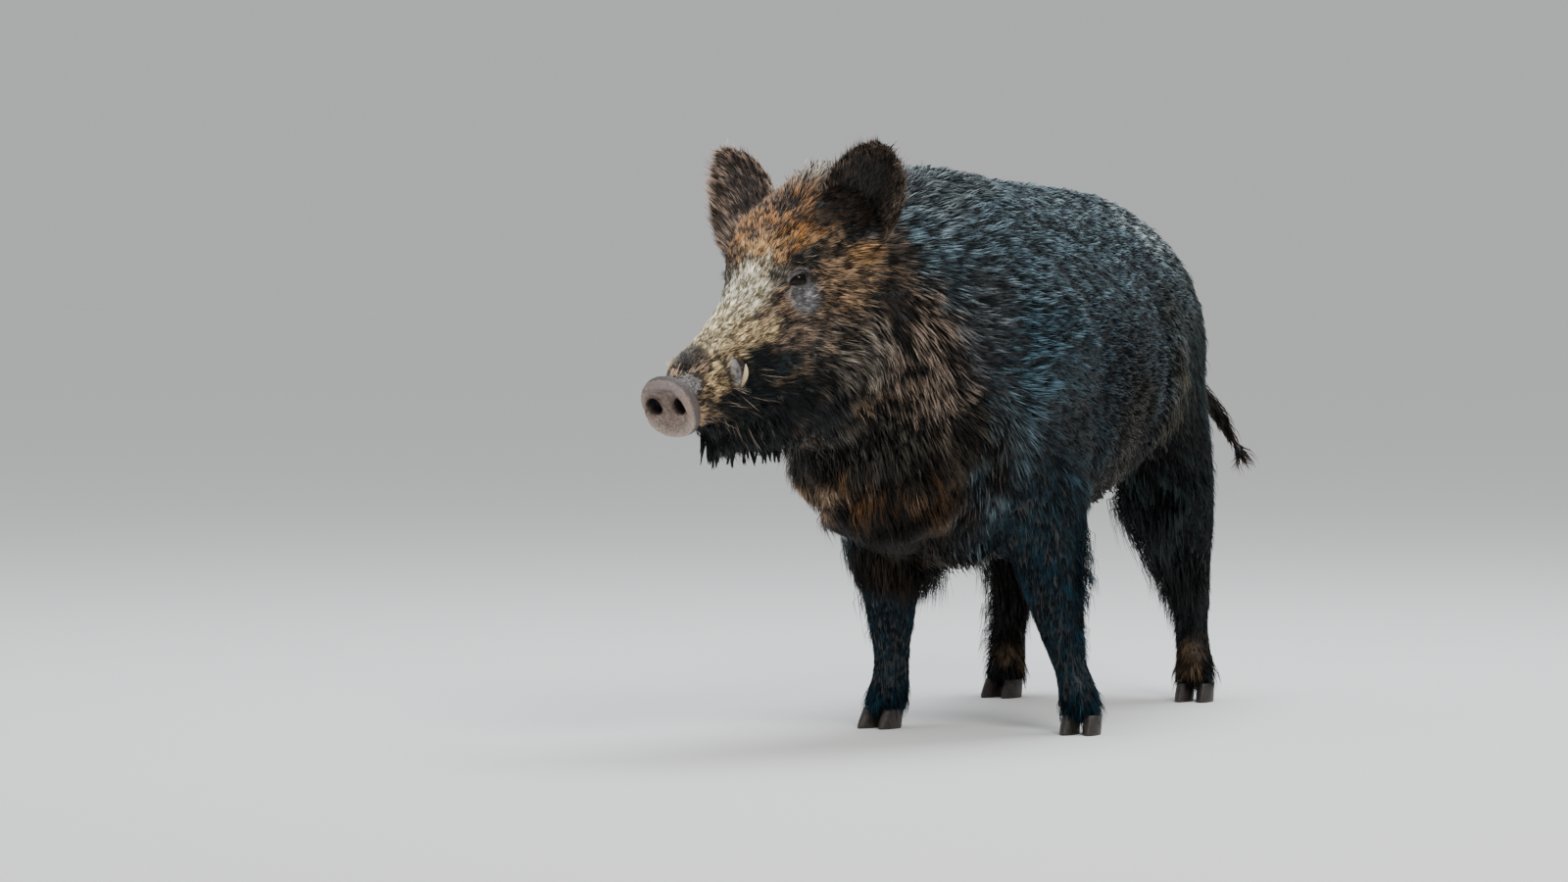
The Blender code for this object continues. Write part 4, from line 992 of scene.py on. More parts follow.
def flatMap(kind, at, info):
    # where a root lies on an unrolled hide, before it is fitted to the square
    if kind == "ear":
        t, share, inside = info[:, :3].T
        left = (headCoords(at)[:, 1] > 0) * 1.0
        return np.stack([share * 0.23 + 0.25 + 0.5 * inside, t * 0.48 + 0.5 * left], -1)
    if kind == "head":
        b, s, u = headCoords(at).T
        return np.stack([np.arctan2(s, u + 0.02) / 6.4, b], -1)
    if kind == "legs":
        f, s, z = bodyCoords(at).T
        middle = np.where(s > 0, 0.150, -0.125) + np.where(z < 0.2, 0.02 * np.sign(s), 0.0)
        centreF = np.where(f > -0.35, 0.0, -0.69)
        angle = np.arctan2(s - middle, f - centreF) / 6.5
        return np.stack([angle + (s > 0) * 1.05, z], -1)
    f, s, z = bodyCoords(at).T
    return np.stack([np.arctan2(s, z - 0.52) / 6.4, f], -1)


def fitted(flat):
    # fits a flat map to the square, with a small margin
    low, high = flat.min(0), flat.max(0)
    margin = coatSetting["margin"]
    return margin + (1 - 2 * margin) * (flat - low) / np.maximum(high - low, 1e-6)


def flatPlaces(mesh, spots):
    layer = mesh.uv_layers.new(name="OFBake")
    layer.data.foreach_set("uv", spots.astype(np.float32).ravel())


def makeCoat(name, member, kind):
    shapes, triangleParts, along, uv, rootTint, tipTint, toneParts = [], [], [], [], [], [], []
    start = 0
    flatAll = np.zeros((len(roots), 2))
    flatAll[member] = fitted(flatMap(kind, roots[member], rootEarInfo[member]))
    for curved in (False, True):
        chosen = member[(length[member] >= coatSetting["shortest"]) == curved]
        if not len(chosen):
            continue
        shape, plan, alongRow, acrossRow = tuftShapes(chosen, curved)
        count, corners = shape.shape[:2]
        shapes.append(shape.reshape(-1, 3))
        firstCorner = start + np.arange(count) * corners
        triangleParts.append((plan + firstCorner[:, None, None]).reshape(-1, 3))
        start += count * corners
        along.append(np.tile(alongRow, count))
        tuftSpot = np.stack([acrossRow, alongRow - 0.5], -1) * coatSetting["patch"]
        uv.append((flatAll[chosen][:, None, :] + tuftSpot).reshape(-1, 2))
        for parts, values in ((rootTint, rootFields["root"]), (tipTint, rootFields["tip"]),
                              (toneParts, tone)):
            parts.append(np.repeat(values[chosen], corners, axis=0))
    meshPoints, meshTriangles = np.vstack(shapes), np.vstack(triangleParts)
    meshPoints[:, 2] = np.maximum(meshPoints[:, 2], coatSetting["lowest"])
    mesh = triangleMesh(name, meshPoints, meshTriangles)
    for field, parts in (("rootTint", rootTint), ("tipTint", tipTint),
                         ("along", along), ("tone", toneParts)):
        setField(mesh, field, np.concatenate(parts))
    flatPlaces(mesh, np.vstack(uv)[meshTriangles.ravel()])
    print(name, len(member), "tufts", len(meshTriangles), "triangles")
    return mesh


rootHead, rootBody = headCoords(roots), bodyCoords(roots)
node = np.argmax(rootMasks, axis=1)
onHeadNode = ((node == 0) | (node == 1)) & ~rootEar
onFace, onCrown, onBack = rootHead[:, 0] < 0.262, rootHead[:, 2] >= 0.02, rootBody[:, 2] > 0.60


def bothSides(name, kind, slotName, chosen, isLeft):
    return [(name + "_left", kind, slotName, chosen & isLeft),
            (name + "_right", kind, slotName, chosen & ~isLeft)]


headSide, bodySide = rootHead[:, 1] >= 0, rootBody[:, 1] >= 0
coatPieces = [("coat_ears", "ear", "coat", rootEar)]
coatPieces += bothSides("coat_face", "head", "coat_brown", onHeadNode & onFace, headSide)
coatPieces += [("coat_crown", "head", "coat_brown", onHeadNode & ~onFace & onCrown)]
coatPieces += bothSides("coat_cheek", "head", "coat_brown", onHeadNode & ~onFace & ~onCrown, headSide)
coatPieces += bothSides("coat_neck", "body", "coat_brown", node == 2, bodySide)
coatPieces += bothSides("coat_back", "body", "coat", (node == 3) & onBack, bodySide)
coatPieces += bothSides("coat_flank", "body", "coat", (node == 3) & ~onBack, bodySide)
coatPieces += [("coat_tail", "body", "coat", node == 4)]
coatPieces += [("coat_" + fleshNodes[index], "legs", "coat", node == index) for index in range(5, 9)]


def plug(node, inputs):
    # sets a node's inputs; a value that is another node's output is linked
    for socket, value in inputs.items():
        if isinstance(value, bpy.types.NodeSocket):
            node.id_data.links.new(value, node.inputs[socket])
        else:
            node.inputs[socket].default_value = value
    return node


def nodeAdder(tree, family="ShaderNode"):
    def add(kind, inputs=None, **settings):
        node = tree.nodes.new(kind if "Node" in kind else family + kind)
        for name, value in settings.items():
            setattr(node, name, value)
        return plug(node, inputs or {})
    return add


def newSocket(tree, name, way, kind):
    return tree.interface.new_socket(name=name, in_out=way, socket_type="NodeSocket" + kind)


def paint(colour):
    return (*srgb(colour), 1)


def objectSpot(add):
    return add("TexCoord").outputs["Object"]


def noise(add, where, scale, detail=2.0):
    return add("TexNoise", {"Vector": where, "Scale": scale, "Detail": detail}).outputs["Fac"]


def maths(add, operation, *values):
    return add("Math", dict(enumerate(values)), operation=operation).outputs["Value"]


def ranged(add, value, low, high, start=0.0, end=1.0):
    return add("MapRange", {"Value": value, "From Min": start, "From Max": end,
                            "To Min": low, "To Max": high}).outputs["Result"]


def tinted(add, factor, below, above):
    return add("Mix", {"Factor": factor, "A": below, "B": above}, data_type="RGBA").outputs["Result"]


def ramped(add, factor, *stops):
    ramp = add("ValToRGB", {"Fac": factor})
    marks = ramp.color_ramp.elements
    marks.remove(marks[1])
    marks[0].position, marks[0].color = stops[0][0], paint(stops[0][1])
    for position, colour in stops[1:]:
        marks.new(position).color = paint(colour)
    return ramp.outputs["Color"]


def bumped(add, height, strength, distance):
    return add("Bump", {"Height": height, "Strength": strength, "Distance": distance}).outputs["Normal"]


def newMaterial(name):
    made = bpy.data.materials.new(name)
    made.use_nodes = True
    return made, nodeAdder(made.node_tree), made.node_tree.nodes["Principled BSDF"]


def shadeGroup():
    # colour of hair from root to tip, used by the hide and by every coat
    group = bpy.data.node_groups.new("hairShade", "ShaderNodeTree")
    for name, kind, start in (("Root Tint", "Color", (0.02, 0.02, 0.02, 1)),
                              ("Tip Tint", "Color", (0.2, 0.2, 0.2, 1)), ("Along", "Float", 0.5),
                              ("Tone", "Float", 0.5), ("Grain Size", "Float", 600.0)):
        newSocket(group, name, "INPUT", kind).default_value = start
    newSocket(group, "Colour", "OUTPUT", "Color")
    newSocket(group, "Roughness", "OUTPUT", "Float")
    add = nodeAdder(group)
    entry = add("NodeGroupInput").outputs
    grain = noise(add, objectSpot(add), entry["Grain Size"])
    # pale hairs turn pale early, dark ones only at the tip
    turnsPale = ranged(add, entry["Tone"], 0.70, -0.12, 0.1, 0.9)
    allPale = maths(add, "ADD", turnsPale, 0.70)
    share = add("MapRange", {"Value": entry["Along"], "From Min": turnsPale, "From Max": allPale},
                interpolation_type="SMOOTHSTEP").outputs["Result"]
    tint = tinted(add, share, entry["Root Tint"], entry["Tip Tint"])
    uneven = ranged(add, grain, 0.78, 1.22, 0.3, 0.7)
    shade = maths(add, "MULTIPLY", uneven, ranged(add, entry["Tone"], 0.52, 1.48))
    final = add("VectorMath", {"Vector": tint, "Scale": shade}, operation="SCALE").outputs["Vector"]
    add("NodeGroupOutput", {"Colour": final, "Roughness": ranged(add, grain, 0.36, 0.58)})
    return group


hairShade = shadeGroup()


def readField(add, name):
    return add("Attribute", attribute_name=name).outputs


def shadedHair(add, along, tone, grainSize):
    given = {"Root Tint": readField(add, "rootTint")["Color"],
             "Tip Tint": readField(add, "tipTint")["Color"],
             "Along": along, "Tone": tone, "Grain Size": grainSize}
    return add("Group", given, node_tree=hairShade).outputs


def hairMaterial(name, specular):
    made, add, shader = newMaterial(name)
    shade = shadedHair(add, readField(add, "along")["Fac"], readField(add, "tone")["Fac"], 260.0)
    plug(shader, {"Base Color": shade["Colour"], "Roughness": shade["Roughness"],
                  "Specular IOR Level": specular,
                  "Normal": bumped(add, noise(add, objectSpot(add), 1400.0), 0.25, 0.0004)})
    return made


def hideMaterial():
    made, add, shader = newMaterial("hide_under_coat")
    where = objectSpot(add)
    shade = shadedHair(add, 0.16, noise(add, where, 900.0, 3.0), 420.0)
    skin = ramped(add, noise(add, where, 160.0, 4.0), (0.35, (58, 55, 56)), (0.68, (122, 117, 117)))
    last = shade["Colour"]
    # pale: paler bare skin, with painted highlight on top of the lip pads; dark: lid margins, the line from
    # the eye's corner, the band about each tusk, and painted shade in the lid creases
    for field, tint in (("bare", skin), ("pale", paint((168, 159, 158))), ("dark", paint((20, 13, 13)))):
        last = tinted(add, readField(add, field)["Fac"], last, tint)
    pores = add("TexVoronoi", {"Vector": where, "Scale": 620.0}).outputs["Distance"]
    plug(shader, {"Base Color": last, "Roughness": shade["Roughness"],
                  "Normal": bumped(add, pores, 0.6, 0.0007)})
    return made


def bristleTree():
    # one tapering, slightly bent bristle set on every point, along its own direction
    tree = bpy.data.node_groups.new("bristles", "GeometryNodeTree")
    for name, kind, start in (("Geometry", "Geometry", None), ("Bend", "Float", 0.14), ("Sides", "Int", 4),
                              ("Steps", "Int", 4), ("Seed", "Int", 3), ("Finish", "Material", None)):
        made = newSocket(tree, name, "INPUT", kind)
        if start is not None:
            made.default_value = start
    newSocket(tree, "Geometry", "OUTPUT", "Geometry")
    add = nodeAdder(tree, "GeometryNode")
    entry = add("NodeGroupInput").outputs
    end = add("ShaderNodeCombineXYZ", {"X": entry["Bend"], "Z": 1.0}).outputs["Vector"]
    bent = add("CurveQuadraticBezier", {"Start": (0, 0, 0), "Middle": (0, 0, 0.5), "End": end,
                                        "Resolution": entry["Steps"]}).outputs["Curve"]
    far = add("SplineParameter").outputs["Factor"]
    thin = add("ShaderNodeMath", {0: 1.02, 1: far}, operation="SUBTRACT").outputs["Value"]
    taper = add("SetCurveRadius", {"Curve": bent, "Radius": thin}).outputs["Curve"]
    outline = add("CurvePrimitiveCircle", {"Radius": 1.0, "Resolution": entry["Sides"]}).outputs["Curve"]
    tube = add("CurveToMesh", {"Curve": taper, "Profile Curve": outline, "Fill Caps": True}).outputs["Mesh"]
    way, reach, girth = (add("InputNamedAttribute", {"Name": name}, data_type=kind).outputs["Attribute"]
                         for name, kind in (("way", "FLOAT_VECTOR"), ("reach", "FLOAT"), ("girth", "FLOAT")))
    aim = add("FunctionNodeAlignRotationToVector", {"Vector": way}, axis="Z").outputs["Rotation"]
    chance = add("FunctionNodeRandomValue", {"Max": (0.0, 0.0, 6.28), "Seed": entry["Seed"]},
                 data_type="FLOAT_VECTOR").outputs["Value"]
    turn = add("FunctionNodeEulerToRotation", {"Euler": chance}).outputs["Rotation"]
    spin = add("FunctionNodeRotateRotation", {"Rotation": aim, "Rotate By": turn},
               rotation_space="LOCAL").outputs["Rotation"]
    size = add("ShaderNodeCombineXYZ", {"X": girth, "Y": girth, "Z": reach}).outputs["Vector"]
    points = add("MeshToPoints", {"Mesh": entry["Geometry"]}).outputs["Points"]
    spread = add("InstanceOnPoints", {"Points": points, "Instance": tube, "Rotation": spin,
                                      "Scale": size}).outputs["Instances"]
    real = add("RealizeInstances", {"Geometry": spread}).outputs["Geometry"]
    finish = add("SetMaterial", {"Geometry": real, "Material": entry["Finish"]}).outputs["Geometry"]
    add("NodeGroupOutput", {"Geometry": finish})
    return tree


bristles = bristleTree()


def bristlePiece(name, at, way, reach, girth, tint, finish, sizes, slotName):
    # bristles at the given points, each with its place on the flat map and its own tone
    seeds = bpy.data.meshes.new(name)
    seeds.vertices.add(len(at))
    seeds.vertices.foreach_set("co", at.astype(np.float32).ravel())
    fields = {"way": ("FLOAT_VECTOR", "vector", way), "reach": ("FLOAT", "value", reach),
              "girth": ("FLOAT", "value", girth)}
    for field, (kind, part, values) in fields.items():
        seeds.attributes.new(field, kind, "POINT").data.foreach_set(part, values.astype(np.float32).ravel())
    thing = newObject(name, seeds)
    grow = thing.modifiers.new("grow", "NODES")
    grow.node_group = bristles
    given = {"Finish": finish, **sizes}
    for socket in bristles.interface.items_tree:
        if socket.in_out == "INPUT" and socket.name in given:
            grow[socket.identifier] = given[socket.name]
    mesh = evaluatedMesh(thing)
    bpy.data.objects.remove(thing)
    mesh.name = name
    corners = len(mesh.vertices) // len(at)
    mesh.polygons.foreach_set("use_smooth", np.ones(len(mesh.polygons), bool))
    places = np.array([v.co for v in mesh.vertices])
    owner = np.arange(len(mesh.vertices)) // corners
    along = np.clip(np.linalg.norm(places - at[owner], axis=1) / reach[owner], 0, 1)
    for field in fields:
        mesh.attributes.remove(mesh.attributes[field])
    setField(mesh, "rootTint", np.tile(srgb(tint[0]), (len(owner), 1)))
    setField(mesh, "tipTint", np.tile(srgb(tint[1]), (len(owner), 1)))
    setField(mesh, "along", along)
    setField(mesh, "tone", (0.5 + 0.18 * draw.normal(size=len(at)))[owner])
    corner = np.empty(len(mesh.loops), np.int32)
    mesh.loops.foreach_get("vertex_index", corner)
    spot = fitted(flatMap("head", at, None))[owner[corner]]
    spot[:, 1] += (along[corner] - 0.5) * coatSetting["patch"]
    flatPlaces(mesh, spot)
    print(name, len(at), "bristles", sum(len(p.vertices) - 2 for p in mesh.polygons), "triangles")
    return addPiece(name, mesh, slotName)


def pickRoots(member, count):
    member = np.flatnonzero(member)
    return member[draw.permutation(len(member))[:count]]


def beardBristles():
    # wet pointed locks under the chin and jaw: the bristles of a lock share one tip
    b, _, u = rootHead.T
    under = onHeadNode & (u < -0.062) & (b > 0.035) & (b < 0.235) & (rootNormals[:, 2] < -0.15)
    leads = pickRoots(under, 86)
    at, way, reach, girth = [], [], [], []
    for lead in leads:
        drop = down + headAhead * draw.uniform(-0.15, 0.25) + headLeft * draw.normal() * 0.14
        front = float(smoothStep(0.24, 0.05, b[lead]))
        hang = 0.016 + 0.022 * front * draw.uniform(0.3, 1.0) + 0.006 * draw.random()
        tip = roots[lead] + unit(drop) * hang
        for _ in range(int(draw.integers(7, 13))):
            start = unit(np.cross(draw.normal(size=3), rootNormals[lead])) * draw.uniform(0.001, 0.007)
            start = roots[lead] + start
            end = tip + draw.normal(size=3) * 0.0007 - (tip - start) * draw.uniform(0, 0.30)
            at.append(start)
            way.append(unit(end - start))
            reach.append(np.linalg.norm(end - start))
            girth.append(draw.uniform(0.0006, 0.0011))
    return [np.array(part) for part in (at, way, reach, girth)]


def whiskerBristles():
    # stiff single bristles of the lips, chin and brow
    b, s, u = rootHead.T
    lips = pickRoots(onHeadNode & (b > 0.03) & (b < 0.16) & (u < 0.0) & (u > -0.10) & (np.abs(s) > 0.02), 90)
    brow = pickRoots(onHeadNode & (np.abs(b - 0.285) < 0.022) & (np.abs(np.abs(s) - 0.074) < 0.02)
                     & (u > 0.095) & (u < 0.125), 44)
    chosen = np.concatenate([lips, brow])
    onBrow = np.arange(len(chosen)) >= len(lips)
    way = rootLay[chosen] * 0.9 + rootNormals[chosen] * 0.75
    way = way + down * np.where(onBrow, -0.1, 0.45)[:, None] + 0.16 * draw.normal(size=way.shape)
    count = len(chosen)
    reach = np.where(onBrow, draw.uniform(0.012, 0.026, count), draw.uniform(0.016, 0.042, count))
    girth = draw.uniform(0.00022, 0.00036, count)
    return [roots[chosen] - rootNormals[chosen] * 0.001, unit(way), reach, girth]


def lashBristles():
    # lashes along the upper lid, a few along the lower
    at, way, reach, girth = [], [], [], []
    for socket in eyeAxes:
        for angle in np.concatenate([np.linspace(0.18, 2.6, 40), np.linspace(-2.2, -0.7, 7)]):
            angle = angle + draw.normal() * 0.02
            x, y = lidContour(np.array([angle]))
            outX, outY = math.cos(angle), math.sin(angle)
            x, y = x[0] + outX * 0.0010, y[0] + outY * 0.0010
            height = float(ballHeight(np.array([math.hypot(x, y)]))[0]) + 0.0015
            at.append(socket["centre"] + socket["along"] * x + socket["rise"] * y + socket["looks"] * height)
            upper = outY > 0
            out = socket["along"] * (outX * 0.7 + 0.25)
            out = out + socket["rise"] * (outY * 0.5 - (0.35 if upper else 0.0))
            way.append(unit(out + socket["looks"] * 1.0 + draw.normal(size=3) * 0.08))
            reach.append(draw.uniform(0.0045, 0.0075) if upper else draw.uniform(0.002, 0.0035))
            girth.append(draw.uniform(0.00014, 0.00022))
    return [np.array(part) for part in (at, way, reach, girth)]


hideMesh.materials.append(hideMaterial())
coatMaterials = {"coat": hairMaterial("coat_slate", 0.12), "coat_brown": hairMaterial("coat_grizzled", 0.25)}
for name, kind, slotName, chosen in coatPieces:
    mesh = makeCoat(name, np.flatnonzero(chosen), kind)
    mesh.materials.append(coatMaterials[slotName])
    addPiece(name, mesh, slotName)
# name, bristles, root and tip colour, sizes given to the tree
bristleSets = [("beard", beardBristles(), ((4, 4, 4), (26, 28, 29)), {"Bend": 0.10, "Sides": 4, "Steps": 3}),
               ("whiskers", whiskerBristles(), ((10, 9, 8), (150, 136, 120)), {"Bend": 0.22}),
               ("lashes", lashBristles(), ((6, 5, 5), (40, 32, 28)), {"Bend": 0.30})]
for name, made, tint, sizes in bristleSets:
    bristlePiece(name, *made, tint, coatMaterials["coat"], sizes, "coat")
print("coat done")

snoutSetting = {
    "spokes": 150, "rows": 72,
    "halfWide": 0.0465, "above": 0.0450, "below": 0.0460,
    "squareness": 2.3,
    "nostril": (0.0230, 0.0015, 0.0104, 0.0132, 0.0180),    # aside, above, half width, half height, depth
    "lean": -0.0034,        # the nose is drawn a little to the animal's right
    # share of the rim radius and height in front of the disc's plane, from the middle out and back
    "outline": [(0.04, -0.0030), (0.42, -0.0034), (0.60, -0.0014), (0.74, 0.0038), (0.84, 0.0070),
                (0.92, 0.0066), (0.98, 0.0030), (1.02, -0.0030), (1.035, -0.0072), (1.02, -0.0112),
                (0.97, -0.0148), (0.88, -0.0185), (0.80, -0.0240)],
}


def snoutDisc():
    angles = np.linspace(0, 2 * math.pi, snoutSetting["spokes"], endpoint=False)
    c, s = np.cos(angles), np.sin(angles)
    power = 2.0 / snoutSetting["squareness"]
    rimX = np.sign(c) * np.abs(c) ** power * snoutSetting["halfWide"]
    rimY = np.sign(s) * np.abs(s) ** power * np.where(s > 0, snoutSetting["above"], snoutSetting["below"])
    outline = np.array(snoutSetting["outline"])
    path = np.concatenate([[0], np.cumsum(np.hypot(np.diff(outline[:, 0]) * 0.046, np.diff(outline[:, 1])))])
    stops = np.linspace(0, path[-1], snoutSetting["rows"])
    rings, marks = [], []
    aside, above, wide, tall, deep = snoutSetting["nostril"]
    for stop in stops:
        radius, height = np.interp(stop, path, outline[:, 0]), np.interp(stop, path, outline[:, 1])
        x, y = rimX * radius, rimY * radius
        front = float(smoothStep(path[7], path[6], stop))
        h = np.full(len(x), height)
        pit, pale, hollow = np.zeros(len(x)), np.zeros(len(x)), np.zeros(len(x))
        for side in (1, -1):
            dx, dy = (x - side * aside - snoutSetting["lean"]) * side, y - above
            # each nostril is a comma, open towards the lower outer side
            dx, dy = dx * 0.94 - dy * 0.30, dx * 0.30 + dy * 0.94
            r = np.sqrt((dx / wide) ** 2 + (dy / tall) ** 2)
            hole = smoothStep(1.05, 0.70, r)
            h = h - front * deep * hole
            h = h + front * 0.0022 * bell(r - 1.30, 0.20) * smoothStep(0.012, -0.004, dx)
            tail = oval(dx - 0.0128, 0.0055, dy - 0.0002, 0.0030)
            h = h - front * 0.0040 * tail
            # hollow: painted shade about the upper edge of each nostril
            hollow = np.maximum(hollow, bell(r - 1.05, 0.42) * smoothStep(-0.014, -0.004, dy))
            # pale patch under each nostril: painted wet highlight
            pale = np.maximum(pale, oval(dx - 0.005, 0.0080, dy + 0.0178, 0.0044))
            # pit: painted shade inside each nostril and its tail
            pit = np.maximum(pit, np.maximum(smoothStep(1.12, 0.88, r), 0.8 * tail * front))
        x = x - snoutSetting["lean"]
        column = front * bell(x, 0.0085)         # the ridge between the nostrils and its wrinkles
        h = h + column * 0.0026 * smoothStep(-0.030, -0.012, y) * smoothStep(0.024, 0.010, y)
        for level in (-0.008, -0.003, 0.002, 0.007, 0.012):
            h = h - column * 0.0006 * bell(y - level - 0.10 * np.abs(x), 0.0010)
        h = h - front * 0.0022 * bell(y - 0.026 - 0.10 * np.abs(x), 0.0036) * (np.abs(x) < 0.03)
        for level in (-0.012, -0.020, -0.028):      # creases below the nostrils
            h = h - front * 0.0007 * bell(y - level - 0.12 * np.abs(x), 0.0013) * (np.abs(x) < 0.018)
        h = h + front * 0.0022 * oval(x, 0.011, y + 0.017, 0.012)
        spot = np.stack([x, y, h], -1)
        h = h + (1 - pit) * (0.00050 * ripple(spot, 0.0036, 31) + 0.00060 * ripple(spot, 0.010, 32))
        x = x + snoutSetting["lean"]
        rings.append(snoutCentre + np.outer(x, headLeft) + np.outer(y, headUp) + np.outer(h, headAhead))
        # paler lower disc: dust; with the pale patches under the nostrils, painted wet highlight
        dustAndWetGlint = np.maximum(smoothStep(-0.006, -0.036, y) * 0.75, pale) * (1 - pit) * front
        # rim: painted highlight on the rim of the disc
        rim = front * float(smoothStep(0.66, 0.86, radius))
        marks.append(np.stack([pit, dustAndWetGlint, np.full(len(x), front), np.full(len(x), rim),
                               front * smoothStep(0.008, 0.036, y), hollow * front * (1 - rim)], -1))
    points, triangles = ringsToMesh(np.array(rings))
    marks = np.vstack(marks + [marks[0][:1], marks[-1][:1]])
    return points, triangles, marks


def snoutMaterial():
    made, add, shader = newMaterial("snout_leather")
    where = objectSpot(add)
    soft, fine = noise(add, where, 90.0, 4.0), noise(add, where, 620.0, 3.0)
    pebble = add("TexVoronoi", {"Vector": where, "Scale": 430.0}).outputs["Distance"]
    grain = maths(add, "MULTIPLY_ADD", pebble, 0.45, maths(add, "MULTIPLY", soft, 0.55))
    last = ramped(add, grain, (0.30, (84, 66, 57)), (0.72, (142, 121, 107)))
    marks, zones = (add("SeparateColor", {"Color": readField(add, name)["Color"]}).outputs
                    for name in ("marks", "zones"))
    # specks of dust on the lower disc and painted wet highlight under the nostrils
    dustAndWetGlintSpecks = maths(add, "MULTIPLY", ranged(add, fine, 0.0, 1.0, 0.46, 0.60), marks["Green"])
    for factor, share, tint in ((zones["Red"], 0.40, (172, 150, 136)),          # painted highlight on the rim
                                (zones["Green"], 0.45, (122, 113, 118)),        # top
                                (zones["Blue"], 0.70, (58, 40, 33)),            # painted shade in the hollow about the nostrils
                                (dustAndWetGlintSpecks, 0.62, (204, 194, 188)),
                                (marks["Red"], 1.0, (7, 5, 5)),                 # painted shade inside the nostrils
                                # the side wall behind the front darkened: painted shade
                                (maths(add, "SUBTRACT", 1.0, marks["Blue"]), 0.85, (66, 61, 62))):
        last = tinted(add, maths(add, "MULTIPLY", factor, share), last, paint(tint))
    plug(shader, {"Base Color": last, "Roughness": ranged(add, soft, 0.34, 0.62),
                  "Normal": bumped(add, maths(add, "ADD", pebble, fine), 0.85, 0.0012)})
    return made


discPoints, discTriangles, discMarks = snoutDisc()
discMesh = triangleMesh("snout_disc", discPoints, discTriangles)
setField(discMesh, "marks", discMarks[:, :3])
setField(discMesh, "zones", discMarks[:, 3:])
discMesh.materials.append(snoutMaterial())
addPiece("snout_disc", discMesh, "snout_skin", "snout")
print("snout disc", len(discTriangles), "triangles")


def eyeBall(socket):
    rows = np.linspace(0, math.pi, 42)[1:-1]
    turns = np.linspace(0, 2 * math.pi, 56, endpoint=False)
    rings = []
    for a in rows:
        bulge = eyeSetting["radius"] + 0.0008 * math.exp(-(a / 0.42) ** 2)      # the cornea stands out
        rings.append(socket["centre"] + bulge * (math.cos(a) * socket["looks"] + math.sin(a) * (
            np.outer(np.cos(turns), socket["along"]) + np.outer(np.sin(turns), socket["rise"]))))
    points, triangles = ringsToMesh(np.array(rings))
    off = points - socket["centre"]
    marks = np.stack([off @ socket["along"], off @ socket["rise"], off @ socket["looks"]], -1)
    return points, triangles, marks / eyeSetting["radius"] * 0.5 + 0.5


def eyeMaterial():
    made, add, shader = newMaterial("eye_glossy")
    gaze = add("SeparateColor", {"Color": readField(add, "gaze")["Color"]}).outputs
    x, y = (maths(add, "MULTIPLY_ADD", gaze[name], 2.0 * stretch, -stretch)
            for name, stretch in (("Red", 0.86), ("Green", 1.10)))
    spot = add("CombineXYZ", {"X": x, "Y": y}).outputs["Vector"]
    fromMiddle = add("VectorMath", {0: spot}, operation="LENGTH").outputs["Value"]
    streak = noise(add, objectSpot(add), 700.0)
    share = maths(add, "MULTIPLY_ADD", streak, 0.05, fromMiddle)
    tint = ramped(add, share, (0.0, (4, 3, 3)), (0.34, (4, 3, 3)), (0.42, (16, 8, 7)), (0.60, (30, 14, 11)),
                  (0.68, (12, 7, 6)), (0.78, (26, 18, 17)), (1.0, (66, 48, 46)))
    plug(shader, {"Base Color": tint, "Roughness": ranged(add, streak, 0.03, 0.09),
                  "Specular IOR Level": 0.15, "Normal": bumped(add, streak, 0.04, 0.0003)})
    return made


eyeFinish = eyeMaterial()
for socket in eyeAxes:
    ballPoints, ballTriangles, gaze = eyeBall(socket)
    mesh = triangleMesh(socket["name"] + "_ball", ballPoints, ballTriangles)
    setField(mesh, "gaze", gaze)
    mesh.materials.append(eyeFinish)
    addPiece(mesh.name, mesh, "eye", socket["name"])
print("eyes done")


def tusk(side):
    filled = tuskLine()
    line = np.array([onHead(b, side * s, u) for b, s, u, _ in filled])
    rings = []
    turns = np.linspace(0, 2 * math.pi, tuskShape["spokes"], endpoint=False)
    for i, point in enumerate(line):
        along = unit(line[min(i + 1, len(line) - 1)] - line[max(i - 1, 0)])
        across = unit(np.cross(along, headAhead))
        depth = np.cross(along, across)
        radius = filled[i, 3]
        rings.append(point + radius * (tuskShape["flatness"] * np.outer(np.cos(turns), across)
                                       + np.outer(np.sin(turns), depth)))
    made = ringsToMesh(np.array(rings))
    along = np.concatenate([np.repeat(np.linspace(0, 1, len(line)), len(turns)), [0.0, 1.0]])
    return made[0], made[1], along


def tuskMaterial():
    made, add, shader = newMaterial("tusk_ivory")
    stain = noise(add, objectSpot(add), 240.0, 4.0)
    share = maths(add, "MULTIPLY_ADD", stain, 0.35, readField(add, "along")["Fac"])
    tint = ramped(add, share, (0.45, (84, 62, 38)), (0.66, (170, 144, 104)), (1.0, (210, 194, 158)))
    plug(shader, {"Base Color": tint, "Roughness": ranged(add, stain, 0.22, 0.44),
                  "Normal": bumped(add, stain, 0.2, 0.0004)})
    return made


tuskFinish = tuskMaterial()
for word, side in (("left", 1), ("right", -1)):
    tuskPoints, tuskTriangles, along = tusk(side)
    mesh = triangleMesh("tusk_%s_ivory" % word, tuskPoints, tuskTriangles)
    setField(mesh, "along", along)
    mesh.materials.append(tuskFinish)
    addPiece(mesh.name, mesh, "tusk", "tusk_" + word)

clawNodes = sorted(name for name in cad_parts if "claw" in name)
clawSetting = {
    "sharpAngle": 0.8,          # radians between faces past which an edge stays sharp
    "crease": 0.80, "soleCrease": 0.93, "rounds": 2,
}


